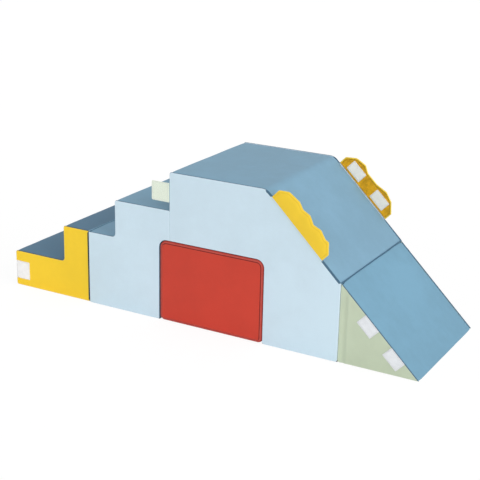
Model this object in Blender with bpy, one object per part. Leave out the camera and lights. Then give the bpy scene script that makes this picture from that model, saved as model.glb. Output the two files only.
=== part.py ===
"""Soft play foam climber: padded steps, a deck over a tunnel, and a slide.

Metres, +Z up. X runs from the low step to the toe of the slide, the front
faces -Y, and the origin is on the floor under the middle of the climber.

The low step and the slide wedge are hinged to the main block along sewn seams
and fold over onto it. A play block fills the tunnel and draws out of it. Two
scalloped crests and two small tabs are sewn to the main block's edges, and
hold the folded blocks by their hook-and-loop patches.
"""
import math

import bmesh
import bpy
import numpy as np
from mathutils.geometry import delaunay_2d_cdt

# The whole climber
RISE = 0.150              # height of one step
RISES = 4                 # steps from the floor to the deck
DEPTH = 0.572             # main block, front edge to back edge
SIDE_TUCK = 0.005         # the folding blocks are this much narrower on each side
SEAM = 0.0003             # air between two pieces that touch
WELD = 0.00002            # points closer than this are one

# Low step block and main block, along X
LOW_TREAD = 0.2505        # the low step's tread, and the main block's upper tread
LOW_BACK = 0.126          # top of the low step, and the main block's lower tread
DECK = 0.411
SLOPE_RUN = 0.304
SLOPE_FOOT = 0.304        # height of the main block's end face
HINGE_GAP = 0.002         # between two blocks that fold on each other
HINGE_LIFT = 0.0005       # a fold axis lies this much above the surfaces it joins
FOLD_CLEARANCE = 0.002    # left at each riser when the low step is folded in

# Tunnel and play block
TUNNEL_LEAD = 0.045       # the tunnel starts this far before the deck
TUNNEL_WIDTH = 0.454
TUNNEL_HEIGHT = 0.329
TUNNEL_ROUND = 0.032
INSERT_CLEARANCE = 0.0009
INSERT_EDGE = 0.010       # rounding between the play block's band and its faces
INSERT_FOOT_ROUND = 0.020
INSERT_BASE_INSET = 0.004  # from the foot bends to the base panel

# Covers
PANEL = 0.0040            # side panels
TREAD_PAD = 0.0040        # covers of treads, deck, slopes and ends
LINING = 0.0030
BASE = 0.0030
BAND = 0.0035             # play block's band and faces
FLOOR_CLEARANCE = 0.0008  # side panels stop this far above the floor
DECK_LIP = 0.012          # the deck cover turns this far down the top riser
STEP_ROUND = 0.007        # outer edges of treads and risers
NOOK_ROUND = 0.010        # inner corners between tread and riser
BROW_ROUND = 0.045        # bend from the deck to the slope
HINGE_ROUND = 0.003
SLOPE_SEAM_ROUND = 0.012  # main block's edge at the slide seam
WEDGE_LIP_ROUND = 0.0006  # wedge's edge at that seam, sewn sharp
PANEL_FOOT_ROUND = 0.008
ARC_STEP = math.radians(22.5)
SHARP_FROM = math.radians(40)

# Softness of the covers
CROWN = 0.0020            # swell of a side panel over its foam
CROWN_REACH = 0.120       # the swell is full this far from the edge
RIM_ROUND = 0.0030        # width of a side panel's rounded rim
RIM_DROP = 0.0015         # depth of that rim
RIM_SHARES = (0.3, 1.0)
PANEL_GRID = 0.055
SEAM_PULL = 0.0025        # the stitching draws a cover's edge in this much
PULL_REACH = 0.050        # the pull fades out this far from the edge
PULL_SHARES = ((0.0, 1.0), (0.12, 0.48), (0.4, 0.14), (1.0, 0.0))

# Hook-and-loop patches
PATCH = 0.0010
PATCH_LENGTH = 0.0745
PATCH_WIDTH = 0.047
WEDGE_PATCH_MARGIN = 0.0015  # from the slope edge down to a patch on the wedge
CREST_PATCH_MARGIN = 0.0065  # from the fold up to a patch on a crest
FIRST_PATCH = 0.177       # from the wedge's hinge to the middle of a patch
SECOND_PATCH = 0.3215
LOW_PATCH_LENGTH = 0.0685
LOW_PATCH_HEIGHT = 0.076
LOW_PATCH_LOW = 0.031
LOW_PATCH_MARGIN = 0.0015

# Crests
CREST_LENGTH = 0.288
CREST_HEIGHT = 0.080
CREST_FROM_HINGE = 0.1045
CREST_PLY = 0.0010
CREST_BACK = 0.00205      # from the fold plane in to the inner ply's face
CREST_PUFF = 0.0060       # rise of the outer ply over the wadding
CREST_PUFF_REACH = 0.025
CREST_RIM = 0.0045        # stitched rim outside the wadding
CREST_GRID = 0.020
CREST_HEM = 0.0032        # radius of the rolled hem on the fold axis
CREST_AXIS_OUT = 0.0020
# One row per peak or valley, down the slope: share of the length, share of the
# height, and the bend's radius as a share of the height
FRONT_CREST_SHARES = (
    (0.0, 0.48, 0.15), (0.10, 0.84, 0.25), (0.28, 0.94, 0.15), (0.378, 0.83, 0.10),
    (0.488, 0.93, 0.125), (0.60, 0.765, 0.10), (0.71, 0.90, 0.125), (0.828, 0.78, 0.10),
    (0.885, 0.83, 0.10), (1.0, 0.42, 0.075),
)
BACK_CREST_SHARES = (
    (0.0, 0.44, 0.15), (0.115, 0.875, 0.25), (0.268, 1.0, 0.125), (0.37, 0.825, 0.10),
    (0.56, 0.825, 0.15), (0.73, 0.975, 0.125), (0.875, 0.835, 0.15), (1.0, 0.42, 0.075),
)

# Tabs
TAB_LENGTH = 0.077
TAB_HEIGHT = 0.075
TAB_LOW = 0.483
TAB_PLY = 0.0024
TAB_HEM = 0.0024
TAB_AXIS_OUT = 0.0015
TAB_ROUND = 0.006
TAB_PATCH_INSET = 0.010

# Zips
ZIP_LOW = 0.0035
ZIP_WIDTH = 0.026
ZIP_TAPE = 0.0012
COIL_WIDTH = 0.0060
COIL_HEIGHT = 0.0014
COIL_TOP_SHARE = 0.5
ZIP_END = 0.012           # from the block's end to the zip's end
SLIDER_LENGTH = 0.013
SLIDER_WIDTH = 0.010
SLIDER_CAP = 0.0012
SLIDER_NOSE_SHARE = 0.6
ROD_SIDES = 12
CUT_OVERRUN = 0.002

# Places that follow from the sizes above
PAD = TREAD_PAD + SEAM
LOW_LENGTH = LOW_TREAD + LOW_BACK
DECK_HEIGHT = RISES * RISE
SLOPE = math.atan2(DECK_HEIGHT - SLOPE_FOOT, SLOPE_RUN)
WEDGE_TOP = SLOPE_FOOT - HINGE_GAP * math.tan(SLOPE)
WEDGE_RUN = WEDGE_TOP / math.tan(SLOPE)
MAIN_LENGTH = LOW_LENGTH + FOLD_CLEARANCE + DECK + SLOPE_RUN
LENGTH = LOW_LENGTH + MAIN_LENGTH + WEDGE_RUN + 2 * HINGE_GAP
X_START = -LENGTH / 2
X_LOW_RISER = X_START + LOW_TREAD
X_LOW_END = X_START + LOW_LENGTH
X_MAIN = X_LOW_END + HINGE_GAP
X_RISER = X_MAIN + LOW_BACK + FOLD_CLEARANCE
X_DECK = X_RISER + LOW_TREAD
X_BROW = X_DECK + DECK
X_SLOPE_END = X_BROW + SLOPE_RUN
X_WEDGE = X_SLOPE_END + HINGE_GAP
X_TOE = X_WEDGE + WEDGE_RUN
X_TUNNEL = X_DECK - TUNNEL_LEAD
X_TUNNEL_END = X_TUNNEL + TUNNEL_WIDTH
TUNNEL_BEND = min(TUNNEL_ROUND, TUNNEL_LEAD)
LOW_TOP = 2 * RISE
UPPER_TREAD = 3 * RISE
EDGE = DEPTH / 2
FOLD_EDGE = EDGE - SIDE_TUCK
COVER_FOOT = BASE + SEAM
ZIP_TOP = ZIP_LOW + ZIP_WIDTH + SEAM

# Colours as seen, and finishes: colour, roughness
COLOURS = {
    "foam": ((0.93, 0.92, 0.86), 0.95),
    "light_blue": ((0.80, 0.88, 0.93), 0.60),
    "mid_blue": ((0.51, 0.66, 0.76), 0.55),
    "dark_blue": ((0.36, 0.48, 0.57), 0.55),
    "yellow": ((0.96, 0.80, 0.20), 0.60),
    "felt_yellow": ((0.90, 0.72, 0.16), 0.90),
    "red": ((0.79, 0.27, 0.23), 0.55),
    "green": ((0.76, 0.81, 0.71), 0.60),
    "pale_green": ((0.87, 0.91, 0.84), 0.60),
    "loop_white": ((0.94, 0.94, 0.95), 0.95),
    "base_grey": ((0.30, 0.33, 0.36), 0.80),
    "zip_tape": ((0.55, 0.66, 0.74), 0.80),
    "zip_slider": ((0.62, 0.64, 0.66), 0.35),
}


def linear(channel):
    """One display colour channel as scene light."""
    if channel <= 0.04045:
        return channel / 12.92
    return ((channel + 0.055) / 1.055) ** 2.4


def material(name):
    """Principled material of a named colour, made once."""
    made = bpy.data.materials.get(name)
    if made:
        return made
    colour, roughness = COLOURS[name]
    made = bpy.data.materials.new(name)
    made.use_nodes = True
    shader = made.node_tree.nodes["Principled BSDF"]
    shader.inputs["Base Color"].default_value = [*map(linear, colour), 1.0]
    shader.inputs["Roughness"].default_value = roughness
    shader.inputs["Metallic"].default_value = 1.0 if name == "zip_slider" else 0.0
    return made


class Body:
    """A group of pieces that move together about an empty on their axis."""

    def __init__(self, name, place):
        self.axis = bpy.data.objects.new(name, None)
        self.axis.location = place
        PARTS.objects.link(self.axis)
        bpy.context.view_layer.update()

    def add(self, piece, colour):
        """Give a piece its colour and hang it on the body where it lies."""
        own = material(colour).copy()
        own.name = piece.name
        piece.data.materials.clear()
        piece.data.materials.append(own)
        for group in list(piece.users_collection):
            group.objects.unlink(piece)
        PARTS.objects.link(piece)
        piece.parent = self.axis
        piece.matrix_parent_inverse = self.axis.matrix_world.inverted()
        return piece


def direction(start, end):
    """Unit vector from one point to another."""
    step = np.subtract(end, start)
    return step / np.hypot(*step)


def inward(heading):
    """Normal that points into the solid, which lies right of the heading."""
    return np.array([heading[1], -heading[0]])


def bend(corner, back, ahead, radius, inset):
    """Arc that rounds a corner, parallel to the one that inset left behind.

    An edge sharper than its cover is thick keeps a hairline round inside.
    """
    side = math.copysign(1.0, back[0] * ahead[1] - back[1] * ahead[0])
    radius = max(radius - side * inset, SEAM)
    half = math.acos(np.clip(back @ ahead, -1.0, 1.0)) / 2
    centre = corner + direction((0, 0), back + ahead) * radius / math.sin(half)
    arm = corner + back * radius / math.tan(half) - centre
    swing = math.pi - 2 * half
    steps = max(2, math.ceil(swing / ARC_STEP))
    angles = -side * swing * np.arange(steps + 1) / steps
    across = np.array([-arm[1], arm[0]])
    return [centre + arm * math.cos(a) + across * math.sin(a) for a in angles]


def outline(corners, inset=0.0, closed=False):
    """Points of an outline of (x, z, radius) corners, moved in by one distance."""
    places = np.array([corner[:2] for corner in corners])
    count = len(corners)
    moved = []
    for i in range(count):
        headings = []
        if closed or i > 0:
            headings.append(direction(places[i - 1], places[i]))
        if closed or i < count - 1:
            headings.append(direction(places[i], places[(i + 1) % count]))
        first, last = inward(headings[0]), inward(headings[-1])
        moved.append(places[i] + inset * (first + last) / (1 + first @ last))
    points = []
    for i in range(count):
        radius = corners[i][2]
        if radius == 0 or (not closed and i in (0, count - 1)):
            points.append(moved[i])
            continue
        back = direction(moved[i], moved[i - 1])
        ahead = direction(moved[i], moved[(i + 1) % count])
        points.extend(bend(moved[i], back, ahead, radius, inset))
    return np.array(points)


def new_object(name, bm):
    """Object from a finished bmesh, smooth where its faces are nearly level."""
    bmesh.ops.recalc_face_normals(bm, faces=bm.faces)
    mesh = bpy.data.meshes.new(name)
    bm.to_mesh(mesh)
    bm.free()
    mesh.shade_smooth()
    mesh.set_sharp_from_angle(angle=SHARP_FROM)
    piece = bpy.data.objects.new(name, mesh)
    bpy.context.scene.collection.objects.link(piece)
    return piece


def slab(name, points, span, facing="XZ"):
    """Flat outline in XZ, or YZ, with its thickness over a span of the third axis."""
    curve = bpy.data.curves.new(name, "CURVE")
    curve.dimensions = "2D"
    curve.fill_mode = "BOTH"
    curve.extrude = (span[1] - span[0]) / 2
    spline = curve.splines.new("POLY")
    spline.points.add(len(points) - 1)
    for point, (across, up) in zip(spline.points, points):
        point.co = (across, up, 0, 1)
    spline.use_cyclic_u = True
    piece = bpy.data.objects.new(name, curve)
    middle = (span[0] + span[1]) / 2
    if facing == "XZ":
        piece.rotation_euler = (math.pi / 2, 0, 0)
        piece.location = (0, middle, 0)
    else:
        piece.rotation_euler = (math.pi / 2, 0, math.pi / 2)
        piece.location = (middle, 0, 0)
    bpy.context.scene.collection.objects.link(piece)
    return piece


def as_mesh(piece):
    """Mesh object with a curve object's shape and place, its caps welded."""
    bpy.context.view_layer.update()
    graph = bpy.context.evaluated_depsgraph_get()
    mesh = bpy.data.meshes.new_from_object(piece.evaluated_get(graph))
    bm = bmesh.new()
    bm.from_mesh(mesh)
    bmesh.ops.remove_doubles(bm, verts=bm.verts, dist=WELD)
    bmesh.ops.recalc_face_normals(bm, faces=bm.faces)
    bm.to_mesh(mesh)
    bm.free()
    made = bpy.data.objects.new(piece.name, mesh)
    made.matrix_world = piece.matrix_world
    name = piece.name
    bpy.data.objects.remove(piece)
    made.name = name
    bpy.context.scene.collection.objects.link(made)
    return made


def combine(piece, tool, operation):
    """Join or cut a piece with a tool that stays as a hidden guide."""
    for group in list(tool.users_collection):
        group.objects.unlink(tool)
    CUTTERS.objects.link(tool)
    tool.hide_render = True
    tool.display_type = "WIRE"
    change = piece.modifiers.new(operation.lower(), "BOOLEAN")
    change.operation = operation
    change.solver = "EXACT"
    change.object = tool
    return piece


def carry(name, corners, profile, closed=False):
    """Carry a closed profile of (depth, inset) points along an outline."""
    rings = [outline(corners, inset, closed) for depth, inset in profile]
    bm = bmesh.new()
    grid = []
    for (depth, inset), ring in zip(profile, rings):
        grid.append([bm.verts.new((x, depth, z)) for x, z in ring])
    steps = len(grid[0]) if closed else len(grid[0]) - 1
    for row, following in zip(grid, grid[1:] + grid[:1]):
        for i in range(steps):
            j = (i + 1) % len(row)
            bm.faces.new((row[i], row[j], following[j], following[i]))
    if not closed:
        for end in (0, -1):
            bm.faces.new([row[end] for row in grid])
    return new_object(name, bm)


def stack(name, corners, sections):
    """Solid through closed outlines at (depth, inset) sections, capped at both ends."""
    bm = bmesh.new()
    grid = []
    for depth, inset in sections:
        ring = outline(corners, inset, closed=True)
        grid.append([bm.verts.new((x, depth, z)) for x, z in ring])
    for row, following in zip(grid, grid[1:]):
        for i in range(len(row)):
            j = (i + 1) % len(row)
            bm.faces.new((row[i], row[j], following[j], following[i]))
    for row in (grid[0], grid[-1]):
        bm.faces.new(row)
    return new_object(name, bm)


def pulled_profile(edge, thickness):
    """Profile of a cover between two side panels, drawn in along both seams."""
    half = edge - PANEL - SEAM
    near = [(-half + PULL_REACH * reach, SEAM_PULL * pull) for reach, pull in PULL_SHARES]
    far = [(-depth, inset) for depth, inset in reversed(near)]
    return near + far + [(half, thickness), (-half, thickness)]


def rounded_profile(thickness):
    """Profile of the play block's band, which turns in over the foam at both faces."""
    profile = []
    for radius, order in ((INSERT_EDGE, 1), (INSERT_EDGE - thickness, -1)):
        turn = quarter_turn(radius)
        back = [(-depth, inset) for depth, inset in reversed(turn)]
        profile.extend((turn + back)[::order])
    return profile


def quarter_turn(radius):
    """(depth, inset) points from the front face round to the side of the play block."""
    steps = round(math.pi / 2 / ARC_STEP)
    points = []
    for i in range(steps + 1):
        angle = math.pi / 2 * (1 - i / steps)
        depth = -EDGE + INSERT_EDGE - radius * math.sin(angle)
        points.append((depth, INSERT_EDGE - radius * math.cos(angle)))
    return points


def rim_distance(places, rim):
    """Distance from each place to the closed outline."""
    start = rim
    step = np.roll(rim, -1, axis=0) - start
    away = places[:, None, :] - start[None, :, :]
    along = np.clip((away * step).sum(axis=2) / (step * step).sum(axis=1), 0.0, 1.0)
    gap = away - along[:, :, None] * step
    return np.hypot(gap[..., 0], gap[..., 1]).min(axis=1)


def inside(places, rim):
    """True for each place that the closed outline holds, by counting crossings."""
    x, z = places[:, 0, None], places[:, 1, None]
    x0, z0 = rim[:, 0], rim[:, 1]
    x1, z1 = np.roll(x0, -1), np.roll(z0, -1)
    spans = (z0 > z) != (z1 > z)
    rise = np.where(z1 == z0, 1.0, z1 - z0)
    crossing = x0 + (z - z0) * (x1 - x0) / rise
    return (spans & (x < crossing)).sum(axis=1) % 2 == 1


def swell(distance, thickness):
    """Thickness of a padded panel at a distance from its edge."""
    rim = 1 - np.clip(distance / RIM_ROUND, 0.0, 1.0)
    field = 1 - np.clip((distance - RIM_ROUND) / CROWN_REACH, 0.0, 1.0)
    drop = RIM_DROP * (1 - np.sqrt(1 - rim ** 2))
    return thickness - drop + CROWN * (1 - field ** 2)


def triangulate(loops, spacing, margin):
    """Points and triangles of the area in the first loop.

    The other loops lie in the first one and become edges. Staggered rows of
    points fill the middle, no nearer to the rim than the margin.
    """
    rim = loops[0]
    lowest, highest = rim.min(axis=0), rim.max(axis=0)
    columns, rows = np.maximum(2, np.round((highest - lowest) / spacing)).astype(int)
    across = np.linspace(lowest[0], highest[0], columns + 1)
    up = np.linspace(lowest[1], highest[1], rows + 1)
    field = np.stack(np.meshgrid(across, up), axis=-1)
    field[1::2, :, 0] += (across[1] - across[0]) / 2
    field = field.reshape(-1, 2)
    field = field[inside(field, rim) & (rim_distance(field, rim) > margin)]
    edges = []
    first = 0
    for loop in loops:
        count = len(loop)
        edges.extend((first + i, first + (i + 1) % count) for i in range(count))
        first += count
    places = [tuple(place) for place in np.vstack(loops + [field]).tolist()]
    mesh = delaunay_2d_cdt(places, edges, [list(range(len(rim)))], 1, WELD)
    return np.array([tuple(place) for place in mesh[0]]), mesh[2]


def relief(name, flat, faces, front, back):
    """Solid over triangles in XZ, its two faces at the depths given for their points."""
    bm = bmesh.new()
    verts = [bm.verts.new((x, y, z)) for (x, z), y in zip(flat, front)]
    rear = {vert: y for vert, y in zip(verts, back)}
    for face in faces:
        bm.faces.new([verts[i] for i in face])
    for vert in verts:
        if not vert.link_faces:
            bm.verts.remove(vert)
    copies = bmesh.ops.duplicate(bm, geom=bm.faces[:])
    for vert, y in rear.items():
        if vert.is_valid:
            copies["vert_map"][vert].co.y = y
    pairs = copies["vert_map"]
    for edge in [e for e in bm.edges if e.is_boundary and e.verts[0] in rear]:
        first, last = edge.verts
        bm.faces.new((first, last, pairs[last], pairs[first]))
    if np.ptp(back) == 0:
        level = [f for f in copies["geom"] if isinstance(f, bmesh.types.BMFace)]
        bmesh.ops.dissolve_faces(bm, faces=level)
    return new_object(name, bm)


def padded_panel(name, corners, seat, thickness, side):
    """Panel on a flat seat, with a rounded rim and a face that swells to its middle.

    The face's height is a function of the distance to the panel's own outline,
    so it follows steps, slope and tunnel alike.
    """
    rim = outline(corners, closed=True)
    loops = [rim] + [outline(corners, RIM_ROUND * share, closed=True) for share in RIM_SHARES]
    flat, faces = triangulate(loops, PANEL_GRID, 2 * RIM_ROUND)
    front = seat + side * swell(rim_distance(flat, rim), thickness)
    return relief(name, flat, faces, front, np.full(len(flat), seat))


def seat_of(edge):
    """Distance from the middle plane to the back of a side panel."""
    return edge - PANEL


def box_outline(x_low, x_high, z_low, z_high):
    """Corners of a rectangle."""
    return [(x_low, z_low), (x_low, z_high), (x_high, z_high), (x_high, z_low)]


def rod(name, centre, radius, length, turn):
    """Round rod through a centre, its axis turned from Z by Euler angles."""
    bpy.ops.mesh.primitive_cylinder_add(
        vertices=ROD_SIDES, radius=radius, depth=length, location=centre, rotation=turn)
    piece = bpy.context.object
    piece.name = name
    piece.data.shade_smooth()
    piece.data.set_sharp_from_angle(angle=SHARP_FROM)
    return piece


def on_slope(down, out):
    """Point a distance down the main slope from its lower end, and out of it."""
    x = X_SLOPE_END + HINGE_GAP / 2 + down * math.cos(SLOPE) + out * math.sin(SLOPE)
    z = SLOPE_FOOT - HINGE_GAP / 2 * math.tan(SLOPE)
    return x, z - down * math.sin(SLOPE) + out * math.cos(SLOPE)


def patch_shape(middle, low):
    """Rectangle of a patch along the slope, from its middle and its lower edge."""
    ends = (middle - PATCH_LENGTH / 2, middle + PATCH_LENGTH / 2)
    high = low + PATCH_WIDTH
    return [on_slope(ends[0], low), on_slope(ends[0], high),
            on_slope(ends[1], high), on_slope(ends[1], low)]


def slope_x(z, inset=0.0):
    """X at which the slope, moved in by a distance, passes a height."""
    return X_SLOPE_END - (z - SLOPE_FOOT + inset / math.cos(SLOPE)) / math.tan(SLOPE)


def foam_span(edge):
    """Front and back of the foam between two side panels."""
    half = seat_of(edge) - SEAM
    return -half, half


def zip_fastener(label, owner, x_low, x_high, z_low, seat, name):
    """Coil zip along X on a back face, and its slider on a body of its own."""
    middle = z_low + ZIP_WIDTH / 2
    tape = seat + ZIP_TAPE
    crest = tape + COIL_HEIGHT
    half = COIL_WIDTH / 2
    profile = [(seat, z_low), (tape, z_low), (tape, middle - half),
               (crest, middle - half * COIL_TOP_SHARE), (crest, middle + half * COIL_TOP_SHARE),
               (tape, middle + half), (tape, z_low + ZIP_WIDTH), (seat, z_low + ZIP_WIDTH)]
    owner.add(slab(label + "_zip_tape", profile, (x_low, x_high), "YZ"), "zip_tape")
    start = x_low + SEAM
    body = Body(name, (start + SLIDER_LENGTH / 2, crest, middle))
    wide = SLIDER_WIDTH / 2
    narrow = wide * SLIDER_NOSE_SHARE
    bow = start + SLIDER_LENGTH * SLIDER_NOSE_SHARE
    shield = [(start, middle - wide), (start, middle + wide), (bow, middle + wide),
              (start + SLIDER_LENGTH, middle + narrow),
              (start + SLIDER_LENGTH, middle - narrow), (bow, middle - wide)]
    slider = as_mesh(slab(label + "_zip_slider", shield,
                          (tape + SEAM, crest + SEAM + SLIDER_CAP)))
    groove = slab(label + "_zip_groove", box_outline(
        tape - CUT_OVERRUN, crest + SEAM, middle - half - SEAM, middle + half + SEAM),
        (start - CUT_OVERRUN, start + SLIDER_LENGTH + CUT_OVERRUN), "YZ")
    combine(slider, as_mesh(groove), "DIFFERENCE")
    body.add(slider, "zip_slider")
    return body


def build_low_step():
    """Low step block: an L of foam in a dark blue and yellow cover."""
    fold = Body("low_step_fold", (X_MAIN - HINGE_GAP / 2, 0, LOW_TOP + HINGE_LIFT))
    cover = [(X_START, COVER_FOOT, 0), (X_START, RISE, STEP_ROUND),
             (X_LOW_RISER, RISE, NOOK_ROUND), (X_LOW_RISER, LOW_TOP, STEP_ROUND),
             (X_LOW_END, LOW_TOP, HINGE_ROUND), (X_LOW_END, COVER_FOOT, 0)]
    span = foam_span(FOLD_EDGE)
    fold.add(slab("low_step_foam", outline(cover, PAD, closed=True), span), "foam")
    fold.add(carry("low_step_tread_cover", cover, pulled_profile(FOLD_EDGE, TREAD_PAD)),
             "dark_blue")
    base = box_outline(X_START, X_LOW_END, 0, BASE)
    fold.add(slab("low_step_base_panel", base, span), "base_grey")
    for label, side, bottom in (("front", -1, FLOOR_CLEARANCE), ("back", 1, ZIP_TOP)):
        foot_round = PANEL_FOOT_ROUND if side < 0 else 0
        corners = [(X_START, bottom, foot_round)] + cover[1:-1] + [(X_LOW_END, bottom, foot_round)]
        seat = side * seat_of(FOLD_EDGE)
        fold.add(padded_panel(f"low_step_{label}_panel", corners, seat, PANEL, side), "yellow")
        low = X_START + LOW_PATCH_MARGIN
        shape = box_outline(low, low + LOW_PATCH_LENGTH, LOW_PATCH_LOW,
                            LOW_PATCH_LOW + LOW_PATCH_HEIGHT)
        fold.add(patch(f"low_step_{label}_patch", shape, corners, seat, side), "loop_white")
    zip_fastener("low_step", fold, X_START + ZIP_END, X_LOW_END - ZIP_END, ZIP_LOW,
                 seat_of(FOLD_EDGE), "low_step_zip_slide")


def patch(name, shape, corners, seat, side):
    """Hook-and-loop patch on a padded panel, flat on the highest point under it."""
    reach = rim_distance(np.array(shape), outline(corners, closed=True)).max()
    under = abs(seat) + swell(reach, PANEL) + SEAM
    return slab(name, shape, sorted((side * under, side * (under + PATCH))))


def build_main_block():
    """Main block: two steps, deck and slope round a tunnel, glued from four foams."""
    main = Body("main_block", (0, 0, 0))
    span = foam_span(EDGE)
    wall = LINING + SEAM
    left = X_TUNNEL - wall
    right = X_TUNNEL_END + wall
    tunnel_top = TUNNEL_HEIGHT + wall
    soft = STEP_ROUND - PAD
    x_end = X_SLOPE_END - PAD
    leg_top = UPPER_TREAD - PAD
    left_leg = [(X_MAIN + PAD, COVER_FOOT, 0), (X_MAIN + PAD, LOW_TOP - PAD, HINGE_ROUND - PAD),
                (X_RISER + PAD, LOW_TOP - PAD, 0), (X_RISER + PAD, leg_top, soft),
                (left, leg_top, 0), (left, COVER_FOOT, 0)]
    right_leg = [(right, COVER_FOOT, 0), (right, leg_top, 0), (slope_x(leg_top, PAD), leg_top, 0),
                 (x_end, slope_height(x_end), SLOPE_SEAM_ROUND - PAD), (x_end, COVER_FOOT, 0)]
    deck_low = leg_top + SEAM
    deck = [(X_DECK + PAD, deck_low, 0), (X_DECK + PAD, DECK_HEIGHT - PAD, soft),
            (slope_x(DECK_HEIGHT - PAD, PAD), DECK_HEIGHT - PAD, BROW_ROUND - PAD),
            (slope_x(deck_low, PAD), deck_low, 0)]
    main.add(slab("main_foam_left_leg", outline(left_leg, closed=True), span), "foam")
    main.add(slab("main_foam_right_leg", outline(right_leg, closed=True), span), "foam")
    main.add(slab("main_foam_deck", outline(deck, closed=True), span), "foam")
    beam = arch_beam(left, right, tunnel_top, leg_top, TUNNEL_BEND + wall)
    main.add(slab("main_foam_beam", beam, span), "foam")

    lip = DECK_HEIGHT - DECK_LIP
    stair_cover = [(X_MAIN, COVER_FOOT, 0), (X_MAIN, LOW_TOP, HINGE_ROUND),
                   (X_RISER, LOW_TOP, NOOK_ROUND), (X_RISER, UPPER_TREAD, STEP_ROUND),
                   (X_DECK, UPPER_TREAD, NOOK_ROUND), (X_DECK, lip - SEAM, 0)]
    deck_cover = [(X_DECK, lip, 0), (X_DECK, DECK_HEIGHT, STEP_ROUND),
                  (X_BROW, DECK_HEIGHT, BROW_ROUND), (X_SLOPE_END, SLOPE_FOOT, SLOPE_SEAM_ROUND),
                  (X_SLOPE_END, COVER_FOOT, 0)]
    lining = [(X_TUNNEL_END, COVER_FOOT, 0), (X_TUNNEL_END, TUNNEL_HEIGHT, TUNNEL_BEND),
              (X_TUNNEL, TUNNEL_HEIGHT, TUNNEL_BEND), (X_TUNNEL, COVER_FOOT, 0)]
    pulled = pulled_profile(EDGE, TREAD_PAD)
    main.add(carry("main_stair_cover", stair_cover, pulled), "mid_blue")
    main.add(carry("main_deck_cover", deck_cover, pulled), "mid_blue")
    plain = [(span[0], 0), (span[1], 0), (span[1], LINING), (span[0], LINING)]
    main.add(carry("main_tunnel_lining", lining, plain), "dark_blue")
    for label, low, high in (("left", X_MAIN, X_TUNNEL), ("right", X_TUNNEL_END, X_SLOPE_END)):
        shape = box_outline(low, high, 0, BASE)
        main.add(slab(f"main_base_panel_{label}", shape, span), "base_grey")

    seam_left, seam_right = X_DECK - SEAM / 2, X_DECK + SEAM / 2
    for label, side, bottom in (("front", -1, FLOOR_CLEARANCE), ("back", 1, ZIP_TOP)):
        foot_round = PANEL_FOOT_ROUND if side < 0 else 0
        seat = side * seat_of(EDGE)
        stair = [(X_MAIN, bottom, foot_round)] + stair_cover[1:4] + [
            (seam_left, UPPER_TREAD, 0), (seam_left, TUNNEL_HEIGHT, 0),
            (X_TUNNEL, TUNNEL_HEIGHT, TUNNEL_BEND - SEAM), (X_TUNNEL, bottom, foot_round)]
        arch = [(seam_right, TUNNEL_HEIGHT, 0)] + [
            (seam_right, DECK_HEIGHT, STEP_ROUND)] + deck_cover[2:4] + [
            (X_SLOPE_END, bottom, foot_round), (X_TUNNEL_END, bottom, foot_round),
            (X_TUNNEL_END, TUNNEL_HEIGHT, TUNNEL_BEND)]
        main.add(padded_panel(f"main_{label}_stair_panel", stair, seat, PANEL, side),
                 "light_blue")
        main.add(padded_panel(f"main_{label}_arch_panel", arch, seat, PANEL, side),
                 "light_blue")

    zip_fastener("main_left", main, X_MAIN + ZIP_END, X_TUNNEL - ZIP_END, ZIP_LOW,
                 seat_of(EDGE), "main_left_zip_slide")
    zip_fastener("main_right", main, X_TUNNEL_END + ZIP_END, X_SLOPE_END - ZIP_END, ZIP_LOW,
                 seat_of(EDGE), "main_right_zip_slide")
    hinge_beads(main)
    return main


def slope_height(x):
    """Height of the foam's slope at an X."""
    return SLOPE_FOOT - (x - X_SLOPE_END) * math.tan(SLOPE) - PAD / math.cos(SLOPE)


def arch_beam(left, right, low, high, radius):
    """Outline of the foam between the legs, its ends curved down to the tunnel's walls.

    The first facet of each curve stops where it comes within a seam of its leg.
    """
    steps = math.ceil(math.pi / 2 / ARC_STEP)
    turn = [np.array([math.cos(i * math.pi / 2 / steps), math.sin(i * math.pi / 2 / steps)]) * radius
            for i in range(steps + 1)]
    share = SEAM / (radius - turn[1][0])
    turn[0] = turn[0] + share * (turn[1] - turn[0])
    points = [(left + SEAM, high), (right - SEAM, high)]
    points.extend((right - radius + x, low - radius + z) for x, z in turn)
    points.extend((left + radius - x, low - radius + z) for x, z in reversed(turn))
    return points


def hinge_beads(main):
    """Sewn hinge beads, centred on the two fold axes between the rounded edges."""
    length = 2 * FOLD_EDGE
    reach = math.hypot(HINGE_ROUND + HINGE_GAP / 2, HINGE_ROUND + HINGE_LIFT)
    turn = (math.pi / 2, 0, 0)
    place = (X_MAIN - HINGE_GAP / 2, 0, LOW_TOP + HINGE_LIFT)
    main.add(rod("low_step_hinge_seam", place, reach - HINGE_ROUND - SEAM, length, turn),
             "dark_blue")
    x, z = on_slope(0, HINGE_LIFT)
    half = (math.pi / 2 + SLOPE) / 2
    inner = SLOPE_SEAM_ROUND / math.sin(half)
    corner = np.array([X_SLOPE_END, SLOPE_FOOT])
    to_centre = np.array([-math.sin(half), -math.cos(half)])
    centre = corner + inner * to_centre
    reach = math.hypot(x - centre[0], z - centre[1])
    main.add(rod("wedge_hinge_seam", (x, 0, z), reach - SLOPE_SEAM_ROUND - SEAM, length, turn),
             "mid_blue")


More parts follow.
